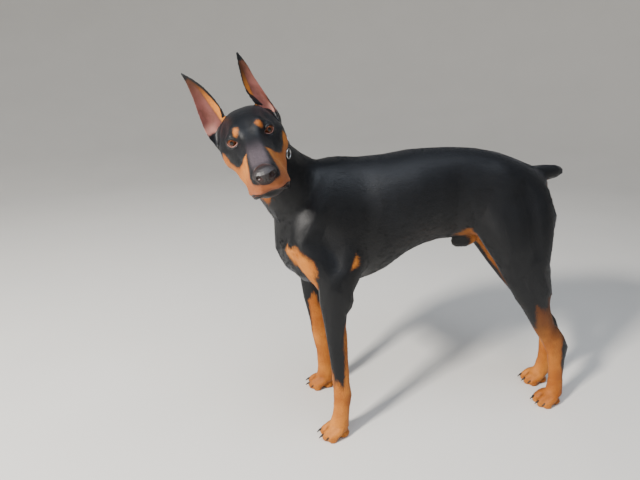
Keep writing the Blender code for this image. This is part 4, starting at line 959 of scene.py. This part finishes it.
class DOG_OT_skin(bpy.types.Operator):
    """Builds the skin with its folds, lids, lips and markings"""

    bl_idname = "dog.skin"
    bl_label = "Skin"

    def execute(self, context):
        skin = bare_skin()
        places, normals = read(skin, "co"), read(skin, "normal")
        places -= normals * (SWELL + sizes().coat_depth)
        height = moulding(places)
        write_places(skin, places + normals * height[:, None])
        thinned(skin, SKIN_TRIANGLES)
        refined(skin, lambda at: near_eyes(at, EYE_RADIUS + 0.008))
        refined(skin, lambda at: near_eyes(at, EYE_RADIUS + 0.004))
        refined(skin, lambda at: (np.abs(mouth_distance(in_frame(INTO_HEAD, at))) < 0.004)
                & (in_frame(INTO_HEAD, at)[:, 0] > 0.005))
        places = mould_lids(read(skin, "co"))
        write_places(skin, places)
        near = near_eyes(places, EYE_RADIUS + 0.012)[:, None] * 0.6
        write_places(skin, evened(places, edge_ends(skin), near, 3, 0.6))
        places, normals = read(skin, "co"), read(skin, "normal")
        places = mould_mouth(places, normals, in_frame(INTO_HEAD, places))
        write_places(skin, places)
        normals = read(skin, "normal")
        node = nearest_nodes(places)
        masks = marking_masks(places, normals, node)
        add_masks(skin, "markings", masks)
        tones = tone_masks(places, in_frame(INTO_HEAD, places), node)
        # Painted shade in creases: the rust darkens to deep rust where the skin folds in, as between
        # the toes
        crease = hollows(places, normals, edge_ends(skin), 4)
        tones[:, 2] = np.maximum(tones[:, 2], crease)
        add_masks(skin, "tones", tones)
        lie = settled(lie_weights(places, node), edge_ends(skin), 12)
        add_masks(skin, "lie", lie)
        shaded_smooth(skin)
        finished(skin, coat_material(), FLESH)
        return {"FINISHED"}


# Materials

class Nodes:
    """Builds one material's nodes; an input is a value or another node's output."""

    def __init__(self, name):
        self.material = bpy.data.materials.new(name)
        self.material.use_nodes = True
        self.tree = self.material.node_tree
        self.shader = self.tree.nodes["Principled BSDF"]

    def put(self, socket, value):
        """Sets or links one input; a colour gets full alpha."""
        if isinstance(value, bpy.types.NodeSocket):
            self.tree.links.new(value, socket)
        elif socket.type == "RGBA":
            socket.default_value = (*value, 1.0)
        else:
            socket.default_value = value

    def add(self, kind, inputs=None, **settings):
        """Adds a node with its settings."""
        made = self.tree.nodes.new("ShaderNode" + kind)
        for name, value in settings.items():
            setattr(made, name, value)
        for key, value in (inputs or {}).items():
            self.put(made.inputs[key], value)
        return made

    def maths(self, operation, first, second):
        """One sum on a value."""
        return self.add("Math", {0: first, 1: second}, operation=operation).outputs[0]

    def times(self, first, second):
        """Product of two values."""
        return self.maths("MULTIPLY", first, second)

    def plus(self, first, second):
        """Sum of two values."""
        return self.maths("ADD", first, second)

    def mix(self, share, first, second, kind="RGBA"):
        """A colour, or with kind FLOAT a value, between two, by share."""
        return self.add("Mix", {"Factor": share, "A": first, "B": second},
                        data_type=kind).outputs["Result"]

    def ramp(self, value, low, high):
        """0 to 1 as the value goes from low to high."""
        return self.add("MapRange", {"Value": value, "From Min": low, "From Max": high},
                        interpolation_type="SMOOTHSTEP").outputs["Result"]

    def place(self):
        """Place on the piece in its own axes, in metres."""
        return self.add("TexCoord").outputs["Object"]

    def noise(self, scale, detail, place=None, distortion=0.0):
        """Noise; scale is its fineness, per metre unless the place is stretched."""
        return self.add("TexNoise", {"Vector": place or self.place(), "Scale": scale,
                                     "Detail": detail, "Distortion": distortion}).outputs["Fac"]

    def drawn_out(self, turn, length, width, detail=3.0):
        """Noise drawn out along a grain: its length and width in metres, turn its lie."""
        place = self.add("Mapping", {"Vector": self.place(), "Rotation": turn,
                                     "Scale": (length, width, width)}, vector_type="TEXTURE")
        return self.noise(1.0, detail, place.outputs["Vector"])

    def cells(self, size, randomness, feature):
        """Pebbles of this size in metres."""
        return self.add("TexVoronoi", {"Vector": self.place(), "Scale": 1 / size,
                                       "Randomness": randomness},
                        feature=feature).outputs["Distance"]

    def mask(self, name):
        """The node that reads an attribute, and the parts of its colour."""
        made = self.add("Attribute", attribute_name=name)
        return made, self.add("SeparateColor", {"Color": made.outputs["Color"]}).outputs

    def surface(self, colour, rough, **constants):
        """Links colour and roughness, and sets the shader's constant inputs."""
        self.put(self.shader.inputs["Base Color"], colour)
        self.put(self.shader.inputs["Roughness"], rough)
        for name, value in constants.items():
            self.put(self.shader.inputs[name.replace("_", " ")], value)
        return self.material

    def relief(self, height, strength, depth):
        """Bump of this depth in metres."""
        bump = self.add("Bump", {"Height": height, "Strength": strength, "Distance": depth})
        self.put(self.shader.inputs["Normal"], bump.outputs["Normal"])


def shifted(colour, share, more=0.0):
    """A lighter or darker colour."""
    return tuple(share * part + more for part in colour)


def lying_hair(made, lie, length, width, detail=3.0):
    """The noise that follows the coat: along the trunk, down the limbs and along the head."""
    trunk = made.drawn_out((0, TRUNK_LIE, 0), length, width, detail)
    limb = made.drawn_out((0, LIMB_LIE, 0), length, width, detail)
    head = made.drawn_out(tuple(head_axes().to_euler()), length * HEAD_LOCK[0],
                          width * HEAD_LOCK[1], detail)
    body = made.mix(lie["Red"], trunk, limb, "FLOAT")
    return made.mix(lie["Green"], body, head, "FLOAT")


def coat_material(name="short_glossy_coat"):
    """Short flat hair: near black with a blue-grey gloss, and rust in the marked places.

    The eye reads the lie of the hair from the streaks in gloss and colour, and the edge of
    each marking from hairs of one colour lying over the other.
    """
    tone = colours()
    made = Nodes(name)
    marks, mask = made.mask("markings")
    _, lie = made.mask("lie")
    _, extra = made.mask("tones")
    # Grey hair with a painted sheen, dusky rust with painted shade, and painted shade with darker ear
    # tops
    grey, dusky_rust_and_shade, painted_shade_and_ear_tops = extra["Red"], extra["Green"], extra["Blue"]
    pale = marks.outputs["Alpha"]
    locks = lying_hair(made, lie, LOCK_LENGTH, LOCK_WIDTH)
    hairs = lying_hair(made, lie, HAIR_STREAK_LENGTH, HAIR_STREAK_WIDTH, 2.0)

    edge = made.plus(mask["Red"], made.times(made.maths("SUBTRACT", locks, 0.5), RAGGEDNESS))
    rust = made.ramp(edge, 0.40, 0.66)
    black = made.mix(made.ramp(hairs, 0.42, 0.75), tone.black, tone.black_tip)
    # Grey hair and a painted sheen on the bridge of the nose
    grizzle_and_sheen = made.times(grey, made.ramp(hairs, 0.30, 0.62))
    black = made.mix(made.times(grizzle_and_sheen, 0.8), black, tone.grizzle_and_sheen)
    light = made.plus(made.times(made.noise(14.0, 2.0), 0.7), made.times(hairs, 0.5))
    warm = made.mix(made.ramp(light, 0.48, 0.78), tone.rust, tone.rust_pale)
    warm = made.mix(made.times(made.ramp(edge, 0.98, 0.55), 0.6), warm, tone.rust_deep_and_shade)
    # Dusky rust: thin hair, and painted shade at the front of the muzzle and under the chin
    warm = made.mix(made.times(dusky_rust_and_shade, 0.75), warm, tone.dusky_rust_and_shade)
    # Painted shade under the chin, on the shanks and in creases, and the darker ear tops, in deep rust
    warm = made.mix(painted_shade_and_ear_tops, warm, tone.rust_deep_and_shade)
    coat = made.mix(rust, black, warm)

    vein = made.noise(90.0, 4.0, distortion=0.6)
    bare = made.mix(made.times(made.ramp(vein, 0.35, 0.75), 0.45), tone.bare, tone.rust_deep_and_shade)
    # Deep rust towards the tops of the ears' insides
    bare = made.mix(made.times(painted_shade_and_ear_tops, 0.7), bare, tone.rust_deep_and_shade)
    bare = made.mix(pale, bare, tone.bare_pale)
    fuzz = made.plus(mask["Green"], made.times(made.maths("SUBTRACT", hairs, 0.5), 0.7))
    bald = made.ramp(fuzz, 0.25, 0.75)
    coat = made.mix(bald, coat, bare)
    lip = made.ramp(mask["Blue"], 0.25, 0.75)
    coat = made.mix(lip, coat, tone.lip)
    coat = made.mix(made.times(pale, lip), coat, tone.bare_pale)

    rough = made.mix(rust, made.plus(0.32, made.times(locks, 0.26)), 0.64, "FLOAT")
    rough = made.mix(bald, rough, 0.52, "FLOAT")
    rough = made.mix(lip, rough, 0.36, "FLOAT")
    height = made.plus(locks, made.times(hairs, 0.45))
    plain = made.mix(made.maths("MAXIMUM", bald, lip), 1.0, 0.25, "FLOAT")
    made.relief(made.times(height, plain), 0.85, COAT_RELIEF)
    return made.surface(coat, rough, Specular_IOR_Level=0.28, Sheen_Weight=0.03,
                        Sheen_Roughness=0.35, Sheen_Tint=SHEEN_TINT)


def nose_material():
    """Moist pebbled leather: fine dark cells that break up the highlight, and nostrils painted near
    black as painted shade in their holes.
    """
    tone = colours()
    made = Nodes("pebbled_nose_leather")
    pebbles = made.cells(NOSE_CELL, 0.85, "SMOOTH_F1")
    leather = made.mix(made.ramp(made.noise(160.0, 3.0), 0.4, 0.75), tone.nose,
                       shifted(tone.nose, 1.6, 0.002))
    _, parts = made.mask("nostril")
    rough = made.plus(0.34, made.times(pebbles, 0.30))
    made.relief(made.times(pebbles, -1.0), 0.6, 0.0004)
    # The nostrils are painted near black: painted shade in their holes
    return made.surface(made.mix(parts["Red"], leather, NOSTRIL_SHADE),
                        made.mix(parts["Red"], rough, 0.95, "FLOAT"))


def eye_material():
    """A wet eye: brown fibred iris, black pupil, dark ring and a trace of white behind."""
    tone = colours()
    made = Nodes("wet_brown_eye")
    gaze, parts = made.mask("gaze")
    reach = parts["Red"]
    fibres = made.noise(9.0, 3.0, gaze.outputs["Vector"])
    colour = made.mix(made.ramp(fibres, 0.35, 0.7), tone.iris, shifted(tone.iris, 1.5))
    iris = sizes().iris_radius / EYE_RADIUS
    colour = made.mix(made.ramp(reach, iris * 0.80, iris), colour, shifted(tone.iris, 0.25))
    colour = made.mix(made.ramp(reach, iris * 0.99, iris * 1.05), colour, EYE_WHITE)
    pupil = sizes().pupil_radius / EYE_RADIUS
    colour = made.mix(made.ramp(reach, pupil * 0.92, pupil * 1.08), PUPIL_BLACK, colour)
    return made.surface(colour, 0.18, Specular_IOR_Level=0.10, Coat_Weight=0.55,
                        Coat_Roughness=0.03)


def worn_material(made, noise, low, colour, worn, smooth, dulling, **constants):
    """A colour and roughness that pass into others with a noise."""
    return made.surface(made.mix(made.ramp(noise, low, 0.8), colour, worn),
                        made.plus(smooth, made.times(noise, dulling)), **constants)


def horn_material():
    """Dark horn with fine grain along the claw and a worn tip."""
    made = Nodes("dark_claw_horn")
    horn = colours().horn
    grain = made.drawn_out((0, 0, 0), 0.010, 0.0008)
    made.relief(grain, 0.4, 0.0002)
    return worn_material(made, grain, 0.5, horn, shifted(horn, 3.0, 0.01), 0.25, 0.3)


def leather_material():
    """Black harness leather: fine creased grain, rubbed a little paler on the high spots."""
    made = Nodes("black_harness_leather")
    leather = colours().leather
    crease = made.noise(120.0, 5.0)
    grain = made.cells(LEATHER_GRAIN, 1.0, "DISTANCE_TO_EDGE")
    made.relief(made.plus(grain, crease), 0.35, 0.0003)
    return worn_material(made, crease, 0.5, leather, shifted(leather, 2.6, 0.004), 0.34, 0.3)


def steel_material():
    """Nickelled steel with fine polishing marks and dulled edges."""
    made = Nodes("nickelled_steel")
    steel = colours().steel
    return worn_material(made, made.noise(900.0, 3.0), 0.45, steel, shifted(steel, 0.55), 0.20,
                         0.25, Metallic=1.0)


def floor_material():
    """Pale matt studio floor with a faint mottling."""
    made = Nodes("pale_studio_floor")
    floor = colours().floor
    return made.surface(made.mix(made.noise(3.0, 4.0), floor, shifted(floor, 0.93)), 0.8)


# Eyes, nose, claws and collar

def lie_directions(places, normals, node):
    """The way the hair lies at each place."""
    forward, _, up = (np.array(axis) for axis in head_axes().col)
    way = np.tile((1.0, 0.0, -0.30), (len(places), 1))
    breast = on_nodes(node, "chest") & (places[:, 0] < -0.20)
    for chosen, direction in (
            (on_nodes(node, "neck"), -np.array(COLLAR_ALONG)),
            (breast, (0.35, 0.0, -1.0)),
            (on_nodes(node, *LIMBS), (0.12, 0.0, -1.0)),
            (on_nodes(node, "thigh_left", "thigh_right"), (0.75, 0.0, -0.8)),
            (on_nodes(node, *PAWS), (-0.8, 0.0, -0.5)),
            (on_nodes(node, *HEAD_PARTS), -forward),
            (on_nodes(node, *EARS), up)):
        way[chosen] = direction
    way = way - normals * (way * normals).sum(axis=1)[:, None]
    return way / np.maximum(np.linalg.norm(way, axis=1), 1e-6)[:, None]


def node_cells():
    """For each node of the flesh, its middle, its own axes and its cell of the unwrap."""
    cells = []
    for number, name in enumerate(FLESH):
        corners = read(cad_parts[name], "co")
        middle = corners.mean(axis=0)
        _, _, axes = np.linalg.svd(corners - middle, full_matrices=False)
        reach = np.abs((corners - middle) @ axes[0]).max()
        cells.append((middle, axes, reach, number % 5 / 5, number // 5 / 5))
    return cells


def unwrapped(places, node):
    """Place of each root on an unwrap of the skin: round and along each part of the body."""
    spots = np.zeros((len(places), 2))
    for number, (middle, axes, reach, left, low) in enumerate(node_cells()):
        member = node == number
        local = (places[member] - middle) @ axes.T
        turn = np.arctan2(local[:, 2], local[:, 1]) / (2 * math.pi) + 0.5
        along = np.clip(local[:, 0] / reach * 0.5 + 0.5, 0, 1)
        spots[member] = np.column_stack([left + 0.006 + turn * 0.18, low + 0.006 + along * 0.18])
    return spots


def tuft_piece(name, roots, way, normals, length, width, lift, masks, spots):
    """Thin closed spikes that lie along the skin, with the masks of their roots."""
    across = np.cross(way, normals)
    base = roots - normals * TUFT_ROOT
    low, high = np.array(CAD_BOX[0]) + BOX_MARGIN, np.array(CAD_BOX[1]) - BOX_MARGIN
    tips = roots + way * length[:, None] + normals * (length * lift)[:, None]
    corners = np.stack([base - across * width[:, None] / 2, base + across * width[:, None] / 2,
                        roots + normals * (width * 0.45)[:, None] + way * (length * 0.2)[:, None],
                        tips], axis=1)
    corners = np.clip(corners, low, high)
    count = len(roots)
    first = np.arange(count)[:, None] * 4
    faces = np.concatenate([first + np.array(face) for face in
                            ((0, 1, 2), (1, 3, 2), (0, 2, 3), (0, 3, 1))], axis=1)
    mesh = bpy.data.meshes.new(name)
    mesh.from_pydata([], [], [])
    mesh.vertices.add(count * 4)
    mesh.vertices.foreach_set("co", corners.ravel())
    mesh.loops.add(count * 12)
    mesh.loops.foreach_set("vertex_index", faces.ravel().astype(np.int32))
    mesh.polygons.add(count * 4)
    mesh.polygons.foreach_set("loop_start", np.arange(count * 4) * 3)
    mesh.update(calc_edges=True)
    mesh.polygons.foreach_set("use_smooth", [True] * (count * 4))
    mesh.normals_split_custom_set(np.repeat(normals, 12, axis=0).tolist())
    tufts = linked(name, mesh)
    for label, table in masks.items():
        add_masks(tufts, label, np.repeat(table, 4, axis=0))
    patch = np.array(((0, 0), (1, 0), (0.5, 0.5), (0.5, 1))) * TUFT_PATCH
    flat = (spots[:, None, :] + patch[None]).reshape(-1, 2)
    layer = mesh.uv_layers.new(name="OFBake")
    layer.data.foreach_set("uv", flat[faces.ravel()].ravel())
    return tufts


class DOG_OT_tufts(bpy.types.Operator):
    """Lays tufts of hair along the skin, longest behind, below and on the tail"""

    bl_idname = "dog.tufts"
    bl_label = "Tufts"

    def execute(self, context):
        skin = bpy.data.objects["skin"]
        places, normals = read(skin, "co"), read(skin, "normal")
        masks = {label: read_masks(skin, label) for label in ("markings", "tones", "lie")}
        ends = np.empty(len(skin.data.polygons) * 3, np.int64)
        skin.data.polygons.foreach_get("vertices", ends)
        ends = ends.reshape(-1, 3)
        corner = places[ends]
        area = np.linalg.norm(np.cross(corner[:, 1] - corner[:, 0], corner[:, 2] - corner[:, 0]),
                              axis=1) / 2
        draw = np.random.default_rng(TUFT_SEED)
        chosen = draw.choice(len(area), TUFT_COUNT, p=area / area.sum())
        share = draw.dirichlet((1, 1, 1), TUFT_COUNT)
        roots = (corner[chosen] * share[:, :, None]).sum(axis=1)
        near = ends[chosen, share.argmax(axis=1)]
        normal = (normals[ends[chosen]] * share[:, :, None]).sum(axis=1)
        normal /= np.linalg.norm(normal, axis=1)[:, None]
        node = nearest_nodes(roots)
        way = lie_directions(roots, normal, node)
        way += np.cross(way, normal) * draw.normal(0, TUFT_SPREAD, TUFT_COUNT)[:, None]
        length, lift = tuft_sizes(roots, normal, node, draw)
        width = sizes().hair_width * np.clip(length / sizes().hair_length, 0.45, 1.3)
        table = {label: values[near] for label, values in masks.items()}
        bald = np.maximum(table["markings"][:, 1], table["markings"][:, 2]) > 0.35
        eyes = near_eyes(roots, EYE_RADIUS + 0.005)
        nose = np.linalg.norm(in_frame(INTO_HEAD, roots) - NOSE_HEART, axis=1) < 0.019
        kept = ~(bald | eyes | nose) & (roots[:, 2] > 0.004)
        rust = table["markings"][:, 0] > 0.5
        spots = unwrapped(roots, node)
        for name, mask, slot in (("black_tufts", ~rust, "black_coat"),
                                 ("rust_tufts", rust, "rust_coat")):
            chosen = kept & mask
            tufts = tuft_piece(name, roots[chosen], way[chosen], normal[chosen], length[chosen],
                               width[chosen], lift[chosen],
                               {label: values[chosen] for label, values in table.items()},
                               spots[chosen])
            finished(tufts, coat_material(name + "_coat"), ())
        return {"FINISHED"}


def tuft_sizes(roots, normal, node, draw):
    """Length of each tuft, and how steeply it stands."""
    share = np.ones(len(node))
    for stems, part in TUFT_SHARES:
        names = [name for name in FLESH if name.startswith(stems)]
        share[on_nodes(node, *names)] = part
    lift = np.full(len(roots), TUFT_LIFT)
    behind = smooth_step(normal[:, 0], 0.55, 0.95) * (roots[:, 2] < 0.60)
    below = smooth_step(-normal[:, 2], 0.5, 0.95) * (roots[:, 2] > 0.38)
    edge = np.maximum(behind, below)
    tail = smooth_step(roots[:, 0], 0.38, 0.41) * (roots[:, 2] > 0.55)
    share = share * (1 + 0.35 * edge + 0.5 * tail)
    lift = lift + 0.10 * edge + 0.12 * tail
    length = sizes().hair_length * share * draw.uniform(0.6, 1.15, len(roots))
    return length, lift * draw.uniform(0.5, 1.5, len(roots))


class DOG_OT_eyes(bpy.types.Operator):
    """Builds the eyeballs, each looking at the camera"""

    bl_idname = "dog.eyes"
    bl_label = "Eyes"

    def execute(self, context):
        material = eye_material()
        for name, side in SIDES:
            centre, axes = eye_axes(side)
            gaze = axes.col[0] * (1 - GAZE_SHARE) + (CAMERA_PLACE - centre).normalized() * GAZE_SHARE
            turn = gaze.normalized().to_track_quat("Z", "Y").to_matrix().to_4x4()
            shape = bmesh.new()
            bmesh.ops.create_uvsphere(shape, u_segments=64, v_segments=56, radius=1)
            for vert in shape.verts:
                reach = math.hypot(vert.co.x, vert.co.y)
                bulge = CORNEA_RISE * max(0.0, 1 - (reach / CORNEA_REACH) ** 2)
                vert.co *= EYE_RADIUS * (EYE_FIT + (bulge if vert.co.z > 0 else 0.0))
            eye = from_bmesh("eyeball_" + name, shape)
            local = read(eye, "co") / EYE_RADIUS
            reach = np.linalg.norm(local[:, :2], axis=1)
            flat = local[:, :2] / np.maximum(reach, 1e-6)[:, None]
            reach = np.where(local[:, 2] > 0, reach, 1.0)
            add_masks(eye, "gaze", np.column_stack([reach, flat[:, 0], flat[:, 1],
                                                    np.ones(len(reach))]))
            eye.data.transform(Matrix.Translation(centre) @ turn)
            shaded_smooth(eye)
            finished(eye, material, ("eye_" + name,))
        return {"FINISHED"}


class DOG_OT_nose(bpy.types.Operator):
    """Builds the nose leather with its nostrils"""

    bl_idname = "dog.nose"
    bl_label = "Nose"

    def execute(self, context):
        nose = merged_copy("nose_leather", ("nose",))
        remade(nose, *NOSE_STAGE)
        local = in_frame(INTO_HEAD, read(nose, "co"))
        depth = np.zeros(len(local))
        for _, side in SIDES:
            away, along = from_line(local[:, 1:] * (side, 1), NOSTRIL)
            wide = np.interp(along, (0, 1), NOSTRIL_RADII)
            depth = np.maximum(depth, 1 - smooth_step(away / wide, 0.55, 1.35))
        depth = depth * smooth_step(local[:, 0], 0.112, 0.120)
        cleft, _ = from_line(local[:, 1:], CLEFT)
        cleft = bell(cleft, 1.0, 0.0, CLEFT_REACH) * smooth_step(-local[:, 2], 0.018, 0.026)
        inward = -np.array(head_axes().col[0])
        places = read(nose, "co") + np.outer(depth * NOSTRIL_DEPTH + cleft * CLEFT_DEPTH, inward)
        write_places(nose, places)
        add_masks(nose, "nostril", stacked(depth, cleft, depth))
        shaded_smooth(nose)
        finished(nose, nose_material(), ("nose",))
        return {"FINISHED"}


class DOG_OT_claws(bpy.types.Operator):
    """Builds the claws, their roots sunk in the toes"""

    bl_idname = "dog.claws"
    bl_label = "Claws"

    def execute(self, context):
        material = horn_material()
        for node in sorted(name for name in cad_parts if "_claw_" in name):
            claw = merged_copy("horn_" + node, (node,))
            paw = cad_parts[node.replace("claw", "paw")[:-2]]
            places = read(claw, "co")
            heart = read(paw, "co").mean(axis=0)
            away = np.linalg.norm(places - heart, axis=1)
            tip = places[away.argmax()]
            root = places[away < np.quantile(away, 0.4)].mean(axis=0)
            along = (tip - root) / np.linalg.norm(tip - root)
            back = np.clip(((tip - places) @ along) / np.linalg.norm(tip - root), 0, 2)
            ahead = (places - root) @ along
            shorter = np.where(ahead > 0, -CLAW_SHORTENING * ahead, 0.0)
            places = places + np.outer(shorter - CLAW_ROOT * back ** 2, along)
            swell = CLAW_SWELL * np.clip(back, 0, 1)
            write_places(claw, places + read(claw, "normal") * swell[:, None])
            remade(claw, *CLAW_STAGE)
            shaded_smooth(claw)
            finished(claw, material, (node,))
        return {"FINISHED"}


class DOG_OT_collar(bpy.types.Operator):
    """Builds the leather strap, the buckle and the ring"""

    bl_idname = "dog.collar"
    bl_label = "Collar"

    def execute(self, context):
        leather, steel = leather_material(), steel_material()
        for node, rounding, material, slot in (
                ("collar_strap", sizes().strap_edge, leather, "collar_leather"),
                ("collar_buckle", sizes().steel_edge, steel, "collar_steel"),
                ("collar_ring", 0.0, steel, "collar_steel")):
            piece = merged_copy(node + "_made", (node,))
            shape = bmesh.new()
            shape.from_mesh(piece.data)
            bmesh.ops.join_triangles(shape, faces=shape.faces, angle_face_threshold=0.35,
                                     angle_shape_threshold=1.2)
            sharp = [edge for edge in shape.edges
                     if edge.is_manifold and edge.calc_face_angle() > math.radians(50)]
            if rounding:
                bmesh.ops.bevel(shape, geom=sharp, offset=rounding, offset_type="OFFSET",
                                affect="EDGES", segments=2, profile=0.5, material=-1,
                                clamp_overlap=True)
            shape.to_mesh(piece.data)
            shape.free()
            if node != "collar_buckle":
                modified(piece, "SUBSURF", levels=2, render_levels=2)
            shaded_smooth(piece)
            finished(piece, material, (node,))
        return {"FINISHED"}


# Stage

class DOG_OT_stage(bpy.types.Operator):
    """Sets the floor, the lights and the camera"""

    bl_idname = "dog.stage"
    bl_label = "Stage"

    def execute(self, context):
        shape = bmesh.new()
        bmesh.ops.create_circle(shape, segments=96, radius=BOWL[0][0], cap_ends=True)
        edges = [edge for edge in shape.edges if edge.is_boundary]
        for (near, low), (far, high) in zip(BOWL, BOWL[1:]):
            grown = bmesh.ops.extrude_edge_only(shape, edges=edges)["geom"]
            verts = [item for item in grown if isinstance(item, bmesh.types.BMVert)]
            edges = [item for item in grown if isinstance(item, bmesh.types.BMEdge)]
            bmesh.ops.scale(shape, verts=verts, vec=(far / near, far / near, 1))
            bmesh.ops.translate(shape, verts=verts, vec=(0, 0, high - low))
        floor = from_bmesh("floor", shape, recalculate=True)
        shaded_smooth(floor)
        floor.data.materials.append(floor_material())
        for name, place, size, power, tint in LIGHTS:
            lamp = bpy.data.lights.new(name, "AREA")
            lamp.energy = power
            lamp.size = size
            lamp.color = tint
            aim = LIGHT_AIM - Vector(place)
            linked(name, lamp, place, aim.to_track_quat("-Z", "Y").to_euler())
        camera = bpy.data.cameras.new("camera")
        camera.lens = CAMERA_LENS
        camera.sensor_width = SENSOR_WIDTH
        context.scene.camera = linked("camera", camera, CAMERA_PLACE, CAMERA_TURN)
        world = bpy.data.worlds.new("studio")
        world.use_nodes = True
        sky = world.node_tree.nodes["Background"]
        sky.inputs["Color"].default_value = SKY_TINT
        sky.inputs["Strength"].default_value = SKY_STRENGTH
        context.scene.world = world
        return {"FINISHED"}


class DOG_PT_panel(bpy.types.Panel):
    """Lists the pieces and their sizes"""

    bl_label = "Dog"
    bl_idname = "DOG_PT_panel"
    bl_space_type = "VIEW_3D"
    bl_region_type = "UI"
    bl_category = "Dog"

    def draw(self, context):
        layout = self.layout
        for operator in STEPS:
            layout.operator(operator.bl_idname)
        for group in (context.scene.dog_sizes, context.scene.dog_colours):
            for name in group.__annotations__:
                layout.prop(group, name)


STEPS = (DOG_OT_skin, DOG_OT_tufts, DOG_OT_eyes, DOG_OT_nose, DOG_OT_claws, DOG_OT_collar,
         DOG_OT_stage)
CLASSES = (DogSizes, DogColours) + STEPS + (DOG_PT_panel,)


def register():
    """Registers the classes and the properties."""
    for item in CLASSES:
        bpy.utils.register_class(item)
    bpy.types.Scene.dog_sizes = bpy.props.PointerProperty(type=DogSizes)
    bpy.types.Scene.dog_colours = bpy.props.PointerProperty(type=DogColours)


def unregister():
    """Takes the classes and the properties away."""
    del bpy.types.Scene.dog_colours
    del bpy.types.Scene.dog_sizes
    for item in reversed(CLASSES):
        bpy.utils.unregister_class(item)


def main():
    """Builds every piece."""
    register()
    bpy.ops.dog.skin()
    bpy.ops.dog.tufts()
    bpy.ops.dog.eyes()
    bpy.ops.dog.nose()
    bpy.ops.dog.claws()
    bpy.ops.dog.collar()
    bpy.ops.dog.stage()


if __name__ == "__main__":
    main()
